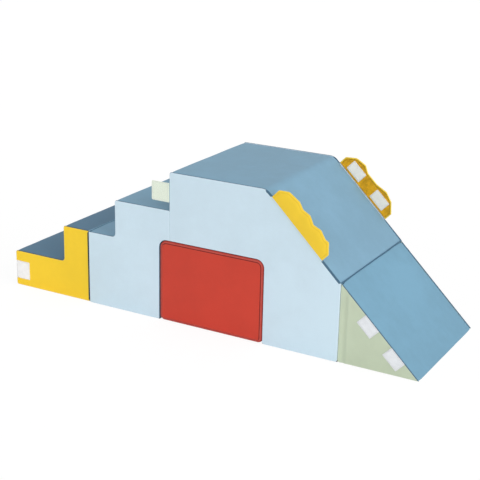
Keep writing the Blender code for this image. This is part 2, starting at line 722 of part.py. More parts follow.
def build_wedge():
    """Slide wedge: one foam prism in a blue and green cover."""
    axis_x, axis_z = on_slope(0, HINGE_LIFT)
    fold = Body("wedge_fold", (axis_x, 0, axis_z))
    span = foam_span(FOLD_EDGE)
    toe_lift = COVER_FOOT + TREAD_PAD * math.cos(SLOPE)
    toe_x = slope_x(toe_lift)
    cover = [(X_WEDGE, COVER_FOOT, 0), (X_WEDGE, WEDGE_TOP, WEDGE_LIP_ROUND), (toe_x, toe_lift, 0)]
    fold.add(carry("wedge_slope_cover", cover, pulled_profile(FOLD_EDGE, TREAD_PAD)),
             "mid_blue")
    foam = outline([(X_WEDGE, COVER_FOOT, 0), (X_WEDGE, WEDGE_TOP, WEDGE_LIP_ROUND),
                    (toe_x, toe_lift, 0)], PAD)
    back_x = foam[0][0]
    nose_x = slope_x(COVER_FOOT, PAD)
    fold.add(slab("wedge_foam", [(back_x, COVER_FOOT)] + list(foam[1:-1]) +
                  [(nose_x, COVER_FOOT)], span), "foam")
    away = SEAM / math.tan(SLOPE)
    base = [(X_WEDGE, 0), (X_WEDGE, BASE), (slope_x(BASE, TREAD_PAD + SEAM), BASE),
            (toe_x + away, toe_lift - SEAM), (X_TOE, 0)]
    fold.add(slab("wedge_base_panel", base, span), "base_grey")
    for label, side, bottom in (("front", -1, FLOOR_CLEARANCE), ("back", 1, ZIP_TOP)):
        seat = side * seat_of(FOLD_EDGE)
        foot_round = PANEL_FOOT_ROUND if side < 0 else 0
        corners = [(X_WEDGE, bottom, foot_round), (X_WEDGE, WEDGE_TOP, WEDGE_LIP_ROUND),
                   (slope_x(bottom), bottom, 0)]
        fold.add(padded_panel(f"wedge_{label}_panel", corners, seat, PANEL, side), "green")
        for number, middle in enumerate((FIRST_PATCH, SECOND_PATCH), 1):
            shape = patch_shape(middle, -WEDGE_PATCH_MARGIN - PATCH_WIDTH)
            fold.add(patch(f"wedge_{label}_patch_{number}", shape, corners, seat, side),
                     "loop_white")
    zip_fastener("wedge", fold, X_WEDGE + ZIP_END, slope_x(ZIP_TOP) - ZIP_END, ZIP_LOW,
                 seat_of(FOLD_EDGE), "wedge_zip_slide")


def build_insert():
    """Play block that fills the tunnel and draws out to the front."""
    slide = Body("insert_slide", (X_TUNNEL + TUNNEL_WIDTH / 2, 0, 0))
    low, high = X_TUNNEL + INSERT_CLEARANCE, X_TUNNEL_END - INSERT_CLEARANCE
    top = TUNNEL_HEIGHT - INSERT_CLEARANCE
    head = TUNNEL_BEND - INSERT_CLEARANCE
    around = [(low, 0, INSERT_FOOT_ROUND), (low, top, head), (high, top, head),
              (high, 0, INSERT_FOOT_ROUND)]
    seam = INSERT_FOOT_ROUND + INSERT_BASE_INSET
    profile = rounded_profile(BAND)
    slide.add(carry("insert_band", [(low + seam, 0, 0)] + around + [(high - seam, 0, 0)],
                    profile), "red")
    slide.add(carry("insert_base_panel", [(high - seam - SEAM, 0, 0),
                                          (low + seam + SEAM, 0, 0)], profile), "base_grey")
    turn = quarter_turn(INSERT_EDGE - BAND - SEAM)
    back_turn = [(-depth, inset) for depth, inset in reversed(turn)]
    slide.add(stack("insert_foam", around, turn + back_turn), "foam")
    rim = INSERT_EDGE + SEAM
    front = [(low + rim, rim, INSERT_FOOT_ROUND - rim), (low + rim, top - rim, head - rim),
             (high - rim, top - rim, head - rim), (high - rim, rim, INSERT_FOOT_ROUND - rim)]
    zip_top = rim + ZIP_WIDTH + SEAM
    back = [(low + rim, zip_top, 0), front[1], front[2], (high - rim, zip_top, 0)]
    slide.add(padded_panel("insert_front_panel", front, BAND - EDGE, BAND, -1), "red")
    slide.add(padded_panel("insert_back_panel", back, EDGE - BAND, BAND, 1), "red")
    zip_fastener("insert", slide, low + INSERT_FOOT_ROUND, high - INSERT_FOOT_ROUND, rim,
                 EDGE - BAND, "insert_zip_slide")


def crest_corners(shares, root):
    """Corners of the scalloped outline in X and Z, in order down the slope."""
    start = -CREST_FROM_HINGE - CREST_LENGTH
    corners = [(*on_slope(start, root), 0)]
    for along, height, radius in shares:
        place = on_slope(start + CREST_LENGTH * along, CREST_HEIGHT * height)
        corners.append((*place, CREST_HEIGHT * radius))
    corners.append((*on_slope(start + CREST_LENGTH, root), 0))
    return corners


def build_crest(label, side, shares):
    """Scalloped crest flap on a slope edge.

    A flat inner ply carries the patches and the rolled hem on the fold axis.
    The outer ply puffs over the wadding and meets the inner one in a flat rim.
    """
    depth = side * (EDGE + CREST_AXIS_OUT)
    middle = -CREST_FROM_HINGE - CREST_LENGTH / 2
    x, z = on_slope(middle, CREST_AXIS_OUT)
    fold = Body(f"crest_{label}_fold", (x, depth, z))
    corners = crest_corners(shares, CREST_AXIS_OUT + CREST_HEM + SEAM)
    loops = [outline(corners, inset, closed=True) for inset in (0.0, CREST_RIM, 2 * CREST_RIM)]
    flat, faces = triangulate(loops, CREST_GRID, 3 * CREST_RIM)
    reach = rim_distance(flat, loops[0])
    puff = CREST_PUFF * (1 - (1 - np.clip(reach / CREST_PUFF_REACH, 0.0, 1.0)) ** 2)
    seat = CREST_PLY - CREST_BACK
    under = seat + SEAM + puff
    fold.add(relief(f"crest_{label}_outer_ply", flat, faces, depth + side * (under + CREST_PLY),
                    depth + side * under), "yellow")
    filled = [face for face in faces if min(reach[i] for i in face) > CREST_RIM - SEAM]
    fold.add(relief(f"crest_{label}_wadding", flat, filled, depth + side * (under - SEAM),
                    np.full(len(flat), depth + side * (seat + SEAM))), "foam")
    inner = sorted((depth - side * CREST_BACK, depth + side * seat))
    shape = outline(crest_corners(shares, CREST_AXIS_OUT), closed=True)
    ply = as_mesh(slab(f"crest_{label}_inner_ply", shape, inner))
    hem = rod(f"crest_{label}_hem", (x, depth, z), CREST_HEM, CREST_LENGTH + 2 * CREST_PLY,
              (0, math.pi / 2 + SLOPE, 0))
    fold.add(combine(ply, hem, "UNION"), "felt_yellow")
    face = CREST_BACK + SEAM
    span = sorted((depth - side * face, depth - side * (face + PATCH)))
    for number, middle in enumerate((FIRST_PATCH, SECOND_PATCH), 1):
        shape = patch_shape(-middle, CREST_AXIS_OUT + CREST_PATCH_MARGIN)
        fold.add(slab(f"crest_{label}_patch_{number}", shape, span), "loop_white")


def build_tab(label, side):
    """Small tab on the deck's step edge that laps over the folded low step."""
    depth = side * (EDGE + TAB_AXIS_OUT)
    axis_x = X_DECK - TAB_AXIS_OUT
    middle = TAB_LOW + TAB_HEIGHT / 2
    fold = Body(f"tab_{label}_fold", (axis_x, depth, middle))
    end = X_DECK - TAB_LENGTH
    corners = [(end, TAB_LOW, TAB_ROUND), (end, TAB_LOW + TAB_HEIGHT, TAB_ROUND),
               (axis_x, TAB_LOW + TAB_HEIGHT, 0), (axis_x, TAB_LOW, 0)]
    span = (depth - TAB_PLY / 2, depth + TAB_PLY / 2)
    ply = as_mesh(slab(f"tab_{label}_ply", outline(corners, closed=True), span))
    hem = rod(f"tab_{label}_hem", (axis_x, depth, middle), TAB_HEM, TAB_HEIGHT, (0, 0, 0))
    fold.add(combine(ply, hem, "UNION"), "pale_green")
    face = TAB_PLY / 2 + SEAM
    inner = sorted((depth - side * face, depth - side * (face + PATCH)))
    shape = box_outline(end + TAB_PATCH_INSET, axis_x - TAB_PATCH_INSET,
                        TAB_LOW + TAB_PATCH_INSET, TAB_LOW + TAB_HEIGHT - TAB_PATCH_INSET)
    fold.add(slab(f"tab_{label}_patch", shape, inner), "loop_white")


def main():
    """Build every block and flap of the climber."""
    build_low_step()
    build_main_block()
    build_wedge()
    build_insert()
    build_crest("front", -1, FRONT_CREST_SHARES)
    build_crest("back", 1, BACK_CREST_SHARES)
    build_tab("front", -1)
    build_tab("back", 1)


for old in list(bpy.data.objects):
    bpy.data.objects.remove(old, do_unlink=True)
PARTS = bpy.data.collections.new("soft_play_climber")
CUTTERS = bpy.data.collections.new("cutters")
bpy.context.scene.collection.children.link(PARTS)
bpy.context.scene.collection.children.link(CUTTERS)
main()
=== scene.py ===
"""Looks of a soft play foam climber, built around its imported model.

Four blocks of foam wear sewn covers of coated cloth: a low step, a main block with
stairs, deck and slope, a slide wedge, and a play block in the main block's tunnel.
Two scalloped crests and two small tabs are sewn to the main block.

Metres, +Z up, X from the low step to the toe of the slide, the front at -Y.
"""
import logging
import math
from collections.abc import Callable, Mapping, Sequence
from dataclasses import dataclass, replace
from enum import Enum

import bmesh
import bpy
import numpy as np
from mathutils import Matrix, Vector
from mathutils.geometry import delaunay_2d_cdt


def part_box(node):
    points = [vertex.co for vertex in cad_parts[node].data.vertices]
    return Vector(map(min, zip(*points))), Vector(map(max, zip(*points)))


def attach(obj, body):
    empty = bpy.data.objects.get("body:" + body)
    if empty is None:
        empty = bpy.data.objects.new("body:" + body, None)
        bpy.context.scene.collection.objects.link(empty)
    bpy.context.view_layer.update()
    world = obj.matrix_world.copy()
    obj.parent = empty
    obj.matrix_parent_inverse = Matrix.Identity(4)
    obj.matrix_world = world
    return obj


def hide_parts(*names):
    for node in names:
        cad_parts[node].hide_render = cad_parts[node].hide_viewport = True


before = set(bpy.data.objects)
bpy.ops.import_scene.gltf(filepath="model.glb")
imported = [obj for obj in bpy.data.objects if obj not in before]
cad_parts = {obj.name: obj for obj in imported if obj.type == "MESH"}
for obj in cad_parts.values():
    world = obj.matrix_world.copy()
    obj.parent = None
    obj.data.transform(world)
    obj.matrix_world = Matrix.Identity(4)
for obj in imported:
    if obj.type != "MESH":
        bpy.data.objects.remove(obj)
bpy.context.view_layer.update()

Array = np.ndarray
Corner = tuple[float, float, float]
Socket = bpy.types.NodeSocket
Sockets = Mapping[str, Socket]
Surface = tuple[Socket, Socket, Socket]
Colour = tuple[float, float, float, float]
log = logging.getLogger("climber")

WELD = 0.00001  # points closer than this are one
HAIRLINE = 0.0003  # air between two pieces that touch
NO_EDGE = 0.03  # rim value so far from an edge that no edge effect shows
ARC_STEP = math.radians(9)
SHARP_FROM = math.radians(50)
ROW_SHARE = 0.93  # share of its inset that a point of a row keeps to the edge
WAVES = 7  # plane waves in a slow relief
WAVE_SPREAD = (0.6, 1.6)  # their shortest and longest, as shares of its size
GATHER_PITCHES = np.array([1.0, 1.37, 2.61])
GATHER_SHARES = np.array([0.4, 0.35, 0.25])


class Side(Enum):
    """Side of the climber that a piece is on: the sign of its Y."""

    FRONT = -1
    BACK = 1

    @property
    def label(self) -> str:
        """Word for the side in the names of nodes and pieces."""
        return self.name.lower()


class Channel(Enum):
    """Values kept at each point of a piece, which its finish reads."""

    RIM = "rim"  # distance to the sewn edge
    RUN = "run"  # way along that edge
    SEAM = "seam"  # width of the dark line on that edge: a binding, partly painted shade of the seam's groove


# Outlines

def direction(start: Array, end: Array) -> Array:
    """Unit vector from one point to another."""
    step = np.subtract(end, start)
    return step / np.hypot(*step)


def bend(corner: Array, back: Array, ahead: Array, radius: float, inset: float) -> Array:
    """Arc that rounds one corner of an outline.

    Its centre lies on the corner's bisector, radius / sin(half angle) from the
    corner, and the arc turns from one side to the other in equal steps.

    Args:
        corner: The corner, already moved in by the inset.
        back: Unit vector from the corner to the one before.
        ahead: Unit vector from the corner to the next.
        radius: Radius on the outline that was not moved in.
        inset: Distance that the outline was moved in.

    Returns:
        The arc's points, in the outline's order.
    """
    side = math.copysign(1.0, back[0] * ahead[1] - back[1] * ahead[0])
    radius = max(radius - side * inset, HAIRLINE)
    half = math.acos(np.clip(back @ ahead, -1.0, 1.0)) / 2
    centre = corner + direction(np.zeros(2), back + ahead) * radius / math.sin(half)
    arm = corner + back * radius / math.tan(half) - centre
    swing = math.pi - 2 * half
    steps = max(2, math.ceil(swing / ARC_STEP))
    angles = -side * np.linspace(0.0, swing, steps + 1)[:, None]
    across = np.array([-arm[1], arm[0]])
    return centre + arm * np.cos(angles) + across * np.sin(angles)


def outline(corners: Sequence[Corner], inset: float = 0.0, closed: bool = False) -> Array:
    """Points of an outline whose corners are rounded, moved in by one distance.

    Args:
        corners: (x, z, radius) of each corner, the solid on the right.
        inset: Distance to move the outline into the solid.
        closed: Whether the last corner joins the first.

    Returns:
        Points as rows of (x, z).
    """
    places = np.array([corner[:2] for corner in corners])
    count = len(corners)
    moved = []
    for i in range(count):
        headings = []
        if closed or i > 0:
            headings.append(direction(places[i - 1], places[i]))
        if closed or i < count - 1:
            headings.append(direction(places[i], places[(i + 1) % count]))
        first, last = [np.array([heading[1], -heading[0]]) for heading in (headings[0], headings[-1])]
        moved.append(places[i] + inset * (first + last) / (1 + first @ last))
    points = []
    for i in range(count):
        radius = corners[i][2]
        if radius == 0 or (not closed and i in (0, count - 1)):
            points.append(moved[i][None, :])
            continue
        back = direction(moved[i], moved[i - 1])
        ahead = direction(moved[i], moved[(i + 1) % count])
        points.append(bend(moved[i], back, ahead, radius, inset))
    return np.vstack(points)


def rectangle(low: Sequence[float], high: Sequence[float], radius: float) -> list[Corner]:
    """Corners of a rectangle between two (x, z), all rounded alike."""
    return [(low[0], low[1], radius), (low[0], high[1], radius), (high[0], high[1], radius),
            (high[0], low[1], radius)]


def divisions(points: Array, spacing: float, closed: bool = False) -> Array:
    """Number of equal parts that each stretch of an outline needs.

    Args:
        points: The outline.
        spacing: Longest part.
        closed: Whether the last point joins the first.

    Returns:
        One count for each stretch.
    """
    following = np.roll(points, -1, axis=0) if closed else points[1:]
    lengths = np.hypot(*(following - points[:len(following)]).T)
    return np.maximum(1, np.ceil(lengths / spacing)).astype(int)


def divided(points: Array, counts: Array, closed: bool = False) -> Array:
    """Outline with each stretch cut into equal parts.

    A point is start + share * (end - start), for every share of every stretch
    at once.

    Args:
        points: The outline.
        counts: Parts for each stretch.
        closed: Whether the last point joins the first.

    Returns:
        The finer outline.
    """
    following = np.roll(points, -1, axis=0) if closed else points[1:]
    stretch = np.repeat(np.arange(len(counts)), counts)
    first = np.repeat(np.cumsum(counts) - counts, counts)
    share = ((np.arange(len(stretch)) - first) / counts[stretch])[:, None]
    finer = points[stretch] + share * (following[stretch] - points[stretch])
    return finer if closed else np.vstack([finer, points[-1:]])


def run_along(points: Array) -> Array:
    """Way along an outline to each of its points."""
    return np.concatenate([[0.0], np.cumsum(np.hypot(*np.diff(points, axis=0).T))])


def rim_field(places: Array, rim: Array, closed: bool = True) -> tuple[Array, Array, Array]:
    """Distance from each place to an outline, the way along it there, and the stretch.

    Each place is dropped onto every stretch, and the nearest foot counts.

    Args:
        places: Points as rows of (x, z).
        rim: The outline.
        closed: Whether its last point joins the first.

    Returns:
        The distances, the ways along the outline, and the stretches' numbers.
    """
    first = rim if closed else rim[:-1]
    step = np.roll(rim, -1, axis=0)[:len(first)] - first
    long = np.hypot(*step.T)
    away = places[:, None, :] - first[None, :, :]
    share = np.clip((away * step).sum(axis=2) / (long * long), 0.0, 1.0)
    gap = np.hypot(*np.moveaxis(away - share[:, :, None] * step, 2, 0))
    nearest = gap.argmin(axis=1)
    row = np.arange(len(places))
    start = np.concatenate([[0.0], np.cumsum(long)[:-1]])
    return gap[row, nearest], start[nearest] + share[row, nearest] * long[nearest], nearest


def inside(places: Array, rim: Array) -> Array:
    """Which places lie in a closed outline: a line to the left crosses it an odd number of times.

    Args:
        places: Points as rows of (x, z).
        rim: The outline.

    Returns:
        True or False for each place.
    """
    x, z = places[:, 0, None], places[:, 1, None]
    x0, z0 = rim.T
    x1, z1 = np.roll(rim, -1, axis=0).T
    spans = (z0 > z) != (z1 > z)
    rise = np.where(z1 == z0, 1.0, z1 - z0)
    return (spans & (x < x0 + (z - z0) * (x1 - x0) / rise)).sum(axis=1) % 2 == 1


def upright(places: Array, depth: Array | float) -> Array:
    """Points in space from rows of (x, z) and their Y."""
    points = np.empty((*np.broadcast_shapes(places.shape[:-1], np.shape(depth)), 3))
    points[..., [0, 2]] = places
    points[..., 1] = depth
    return points


# Softness

def ramp(values: Array, width: float) -> Array:
    """Even rise from 0 at 0 to 1 at the width, held beyond."""
    return np.clip(values / width, 0.0, 1.0)


def edge_drop(rim: Array, width: float) -> Array:
    """Fall of a quarter circle along an edge: 1 at the edge, 0 at the width and beyond."""
    return 1 - np.sqrt(1 - (1 - ramp(rim, width)) ** 2)


def bell(values: Array, middle: float, width: float) -> Array:
    """Bell curve, 1 at its middle and about a third at the width from it."""
    return np.exp(-((values - middle) / width) ** 2)


def waves(places: Array, size: float, seed: int) -> Array:
    """Slow, uneven relief from 0 to 1 over a plane.

    The mean of a few plane waves, cos(k . place + phase), whose directions,
    lengths near the size, and phases are drawn from the seed.

    Args:
        places: Points as rows of two coordinates.
        size: Usual distance between two swells.
        seed: Number that fixes the draw.

    Returns:
        One value for each place.
    """
    draw = np.random.default_rng(seed)
    turn = draw.uniform(0, math.tau, WAVES)
    length = size * draw.uniform(*WAVE_SPREAD, WAVES)
    phase = draw.uniform(0, math.tau, WAVES)
    travel = places @ np.stack([np.cos(turn), np.sin(turn)]) / length
    return 0.5 + 0.5 * np.cos(math.tau * travel + phase).mean(axis=1) * math.sqrt(WAVES) / 2


def pucker(rim: Array, run: Array, pitch: float, reach: float, seed: int) -> Array:
    """Gathers along a seam, from 0 to 1.

    Three sine waves of unlike pitch along the seam, which fade as
    exp(-distance / reach) away from it.

    Args:
        rim: Distance to the seam.
        run: Way along the seam.
        pitch: Usual distance between two gathers.
        reach: Distance at which they have faded to a third.
        seed: Number that fixes their phases.

    Returns:
        One value for each point.
    """
    phases = np.random.default_rng(seed).uniform(0, math.tau, len(GATHER_PITCHES))
    wave = np.sin(math.tau * run[:, None] / (pitch * GATHER_PITCHES) + phases) @ GATHER_SHARES
    return (0.5 + 0.5 * wave) * np.exp(-rim / reach)


@dataclass(frozen=True)
class Crease:
    """A soft fold in a panel, a groove with a low ridge beside it."""

    start: tuple[float, float]  # one end in (x, z)
    end: tuple[float, float]  # other end in (x, z)
    width: float  # width of the groove
    depth: float  # depth of the groove
    ENDS = 0.2  # share of the length over which each end fades
    RIDGE = 0.5  # height of the ridge, as a share of the depth
    RIDGE_AT = 1.5  # distance to the ridge, in widths

    def fall(self, places: Array) -> Array:
        """How far the fold lowers places: a bell across it, less the ridge's, faded at its ends.

        Args:
            places: Points in the panel's plane.

        Returns:
            One depth for each place.
        """
        start, end = np.array(self.start), np.array(self.end)
        long = np.hypot(*(end - start))
        heading = (end - start) / long
        along = (places - start) @ heading / long
        across = (places - start) @ np.array([heading[1], -heading[0]]) / self.width
        shape = bell(across, 0.0, 1.0) - self.RIDGE * bell(across, self.RIDGE_AT, 1.0)
        return self.depth * ramp(np.minimum(along, 1 - along), self.ENDS) * shape


@dataclass(frozen=True)
class Padding:
    """How a padded panel swells over its foam."""

    thickness: float = 0.0040  # thickness at the stitched edge's shoulder
    crown: float = 0.0024  # swell at the middle
    reach: float = 0.110  # distance from the edge at which the swell is full
    rim_round: float = 0.0040  # width of the rounded edge
    rim_drop: float = 0.0020  # depth of the rounded edge
    gather: float = 0.0007  # depth of the gathers along the seams
    gather_pitch: float = 0.021  # distance between gathers
    gather_reach: float = 0.016  # how far they run into the panel
    ripple: float = 0.0011  # depth of the slow relief
    ripple_size: float = 0.19  # size of the slow relief

    def height(self, places: Array, rim: Array, run: Array, seed: int) -> Array:
        """Height of the panel's face over its seat.

        The thickness, less a quarter circle's drop at the edge, plus a
        parabola's rise towards the middle, less gathers and slow relief.

        Args:
            places: Points in the panel's plane.
            rim: Their distances to its edge.
            run: Their ways along that edge.
            seed: Number that fixes the wrinkles.

        Returns:
            One height for each place.
        """
        rise = self.crown * (1 - (1 - ramp(rim - self.rim_round, self.reach)) ** 2)
        drop = self.rim_drop * edge_drop(rim, self.rim_round)
        gathers = self.gather * pucker(rim, run, self.gather_pitch, self.gather_reach, seed)
        slow = self.ripple * ramp(rim, self.gather_reach) * waves(places, self.ripple_size, seed + 1)
        return self.thickness - drop + rise - gathers * ramp(rim, self.rim_round) - slow


# Shells

def outward_mesh(bm: bmesh.types.BMesh, mesh: bpy.types.Mesh,
                 channels: Sequence[Array | float]) -> bpy.types.Mesh:
    """Finishes a closed form: faces that point out, soft shading, and its channels.

    Args:
        bm: The form, which is freed.
        mesh: Mesh to write it to.
        channels: Values at its points for each Channel, in that order.

    Returns:
        The mesh.
    """
    bmesh.ops.recalc_face_normals(bm, faces=bm.faces)
    bm.to_mesh(mesh)
    bm.free()
    mesh.shade_smooth()
    mesh.set_sharp_from_angle(angle=SHARP_FROM)
    for channel, values in zip(Channel, channels):
        layer = mesh.attributes.new(channel.value, "FLOAT", "POINT")
        layer.data.foreach_set("value", np.ones(len(mesh.vertices), np.float32) * values)
    return mesh


@dataclass
class Shell:
    """A closed surface: points, faces, and what the finish reads at each point."""

    points: Array
    faces: list[Array]
    rim: Array
    run: Array
    seam: Array | float = 0.0

    def mesh(self, name: str) -> bpy.types.Mesh:
        """Writes the shell into a mesh, with its channels.

        Args:
            name: Name of the mesh.

        Returns:
            The mesh.
        """
        faces = [face.astype(np.int32) for face in self.faces if len(face)]
        sizes = np.concatenate([np.full(len(face), face.shape[1]) for face in faces])
        mesh = bpy.data.meshes.new(name)
        mesh.vertices.add(len(self.points))
        mesh.vertices.foreach_set("co", self.points.astype(np.float32).ravel())
        mesh.loops.add(int(sizes.sum()))
        mesh.loops.foreach_set("vertex_index", np.concatenate([face.ravel() for face in faces]))
        mesh.polygons.add(len(sizes))
        starts = np.concatenate([[0], np.cumsum(sizes)[:-1]]).astype(np.int32)
        mesh.polygons.foreach_set("loop_start", starts)
        mesh.update(calc_edges=True)
        mesh.validate()
        bm = bmesh.new()
        bm.from_mesh(mesh)
        return outward_mesh(bm, mesh, (self.rim, self.run, self.seam))


@dataclass(frozen=True)
class CutPiece:
    """Cloth cut to an outline: points and triangles in its own plane."""

    places: Array  # points as rows of (x, z)
    triangles: Array  # rows of three point numbers
    rim: Array  # distance from each point to the cut edge
    run: Array  # way along that edge at each point
    seam: Array  # width of the dark line on that edge: a binding, partly painted shade

    @classmethod
    def from_rim(cls, edge: Array, spacing: float, insets: Sequence[float]) -> "CutPiece":
        """Cuts a piece to a closed outline.

        Rows of points follow the outline at the insets, and staggered rows
        fill the middle.

        Args:
            edge: The closed outline.
            spacing: Distance between points.
            insets: Distances of the rows that follow the outline.

        Returns:
            The cut piece.
        """
        rim = divided(edge, divisions(edge, spacing, closed=True), closed=True)
        heading = np.roll(rim, -1, axis=0) - np.roll(rim, 1, axis=0)
        inward = np.stack([heading[:, 1], -heading[:, 0]], axis=1)
        inward /= np.hypot(*inward.T)[:, None]
        groups = []
        for inset in insets:
            row = rim + inset * inward
            groups.append(row[inside(row, edge) & (rim_field(row, edge)[0] > ROW_SHARE * inset)])
        lowest, highest = edge.min(axis=0), edge.max(axis=0)
        columns, rows = np.maximum(2, np.round((highest - lowest) / spacing)).astype(int)
        across = np.linspace(lowest[0], highest[0], columns + 1)
        up = np.linspace(lowest[1], highest[1], rows + 1)
        middle = np.stack(np.meshgrid(across, up), axis=-1)
        middle[1::2, :, 0] += (across[1] - across[0]) / 2
        middle = middle.reshape(-1, 2)
        middle = middle[inside(middle, edge)]
        groups.append(middle[rim_field(middle, edge)[0] > insets[-1] + spacing / 2])
        order = np.arange(len(rim))
        edges = np.stack([order, (order + 1) % len(rim)], axis=1).tolist()
        found = delaunay_2d_cdt([Vector(place) for place in np.vstack([rim, *groups])],
                                edges, [order.tolist()], 1, WELD)
        places = np.array([tuple(place) for place in found[0]])
        triangles = np.array([face for face in found[2] if len(face) == 3])
        used, renamed = np.unique(triangles, return_inverse=True)
        places = places[used]
        distance, run, _ = rim_field(places, edge)
        return cls(places, renamed.reshape(-1, 3), distance, run, np.zeros(len(places)))

    def shell(self, front: Array | float, back: Array | float) -> Shell:
        """Closed shell with two faces over the cut, at depths along Y.

        Args:
            front: Y of the showing face at each point.
            back: Y of the hidden face at each point.

        Returns:
            The shell, its wall along the cut edge included.
        """
        count = len(self.places)
        points = np.vstack([upright(self.places, front), upright(self.places, back)])
        sides = np.concatenate([self.triangles[:, [0, 1]], self.triangles[:, [1, 2]],
                                self.triangles[:, [2, 0]]])
        _, first, uses = np.unique(np.sort(sides, axis=1), axis=0, return_index=True,
                                   return_counts=True)
        open_sides = sides[first[uses == 1]]
        wall = np.concatenate([open_sides, open_sides[:, ::-1] + count], axis=1)
        faces = [self.triangles, self.triangles[:, ::-1] + count, wall]
        return Shell(points, faces, np.tile(self.rim, 2), np.tile(self.run, 2),
                     np.tile(self.seam, 2))


def carried_shell(rings: Array, rim: Array | float = NO_EDGE, run: Array | float = 0.0) -> Shell:
    """Closed shell from a grid of points: a closed profile carried along an open path.

    Args:
        rings: Array of (stations along the path, points of the profile, 3).
        rim: Distance to the sewn edge, shaped like the grid.
        run: Way along the path, shaped like the grid.

    Returns:
        The shell, its two ends capped with a strip of faces each.
    """
    stations, profile = rings.shape[:2]
    row, column = np.divmod(np.arange((stations - 1) * profile), profile)
    start, following = row * profile, (column + 1) % profile
    faces = np.stack([start + column, start + following, start + profile + following,
                      start + profile + column], axis=1)
    near = np.arange(profile // 2 - 1)
    cap = np.stack([near, near + 1, profile - 2 - near, profile - 1 - near], axis=1)
    return Shell(rings.reshape(-1, 3), [faces, cap, cap + (stations - 1) * profile],
                 np.ravel(rim), np.ravel(run))


# Finishes

class Graph:
    """Short way to add and join the nodes of one tree."""

    def __init__(self, tree: bpy.types.NodeTree) -> None:
        """Keeps the tree."""
        self.tree = tree

    def add(self, kind: str, **settings: object) -> bpy.types.Node:
        """Adds a node and sets its properties."""
        node = self.tree.nodes.new(kind)
        for name, value in settings.items():
            setattr(node, name, value)
        return node

    def feed(self, target: Socket, source: object) -> None:
        """Joins a socket to an input, or sets the input to a value."""
        if isinstance(source, Socket):
            self.tree.links.new(source, target)
        else:
            target.default_value = source

    def math(self, operation: str, *values: object, clamp: bool = False) -> Socket:
        """Result of one sum on sockets or numbers."""
        node = self.add("ShaderNodeMath", operation=operation, use_clamp=clamp)
        for target, value in zip(node.inputs, values):
            self.feed(target, value)
        return node.outputs[0]

    def step(self, value: Socket, low: float, high: float, start: float = 0.0,
             end: float = 1.0) -> Socket:
        """Value carried smoothly from one range to another, and held at its ends."""
        node = self.add("ShaderNodeMapRange", interpolation_type="SMOOTHSTEP")
        for target, source in zip(node.inputs, (value, low, high, start, end)):
            self.feed(target, source)
        return node.outputs[0]

    def blend(self, share: Socket, first: object, second: object) -> Socket:
        """Colour between two colours."""
        node = self.add("ShaderNodeMix", data_type="RGBA")
        self.feed(node.inputs[0], share)
        self.feed(node.inputs[6], first)
        self.feed(node.inputs[7], second)
        return node.outputs[2]

    def shades(self, share: Socket, colour: Colour, dark: float, pale: float) -> Socket:
        """Colour between two shades of one colour, given as shares of it."""
        return self.blend(share, scaled(colour, dark), scaled(colour, pale))

    def noise(self, place: Socket, scale: float, detail: float, roughness: float = 0.55) -> Socket:
        """Cloudy value from 0 to 1."""
        node = self.add("ShaderNodeTexNoise")
        self.feed(node.inputs["Vector"], place)
        node.inputs["Scale"].default_value = scale
        node.inputs["Detail"].default_value = detail
        node.inputs["Roughness"].default_value = roughness
        return node.outputs["Fac"]

    def place(self) -> Socket:
        """Object coordinates, which are metres in the climber's frame."""
        return self.add("ShaderNodeTexCoord").outputs["Object"]

    def channel(self, channel: Channel) -> Socket:
        """Value that the piece keeps at each point."""
        return self.add("ShaderNodeAttribute", attribute_name=channel.value).outputs["Fac"]

    def use(self, fill: Callable[["Graph", Sockets], dict[str, Socket]], **inputs: object) -> Sockets:
        """Places a node group, made once and named after the function that fills it.

        Args:
            fill: Builds the inside from the inputs and returns what feeds each output.
            inputs: What feeds each input. Place is a vector, and the others are values.

        Returns:
            The group's outputs, which are all values.
        """
        group = bpy.data.node_groups.get(fill.__name__)
        if not group:
            group = bpy.data.node_groups.new(fill.__name__, "ShaderNodeTree")
            for label in inputs:
                kind = "NodeSocketVector" if label == "Place" else "NodeSocketFloat"
                group.interface.new_socket(label, in_out="INPUT", socket_type=kind)
            within = Graph(group)
            results = fill(within, within.add("NodeGroupInput").outputs)
            for label in results:
                group.interface.new_socket(label, in_out="OUTPUT", socket_type="NodeSocketFloat")
            end = within.add("NodeGroupOutput")
            for label, source in results.items():
                within.feed(end.inputs[label], source)
        node = self.add("ShaderNodeGroup", node_tree=group)
        for label, value in inputs.items():
            self.feed(node.inputs[label], value)
        return node.outputs


# Each of these fills a node group for Graph.use: graph is its inside, given its inputs,
# and what it returns feeds the outputs.

def pebbled_grain(graph: Graph, given: Sockets) -> dict[str, Socket]:
    """Pebbled grain of coated cloth: small cells with soft valleys and pores between them."""
    cells = graph.add("ShaderNodeTexVoronoi", feature="SMOOTH_F1")
    graph.feed(cells.inputs["Vector"], given["Place"])
    graph.feed(cells.inputs["Scale"], given["Cells"])
    dome = graph.math("SUBTRACT", 1.0, cells.outputs["Distance"], clamp=True)
    pores = graph.noise(given["Place"], scale=900.0, detail=2.0)
    return {"Height": graph.math("MULTIPLY_ADD", pores, 0.35, dome),
            "Shade": graph.step(dome, low=0.25, high=0.7)}


def dye_mottle(graph: Graph, given: Sockets) -> dict[str, Socket]:
    """Slow and middling cloudiness of dyed cloth."""
    slow = graph.noise(given["Place"], scale=2.6, detail=2.0)
    middling = graph.noise(given["Place"], scale=19.0, detail=4.0, roughness=0.65)
    both = graph.math("ADD", graph.math("MULTIPLY", slow, 0.65),
                      graph.math("MULTIPLY", middling, 0.35))
    return {"Shade": graph.step(both, low=0.34, high=0.66)}


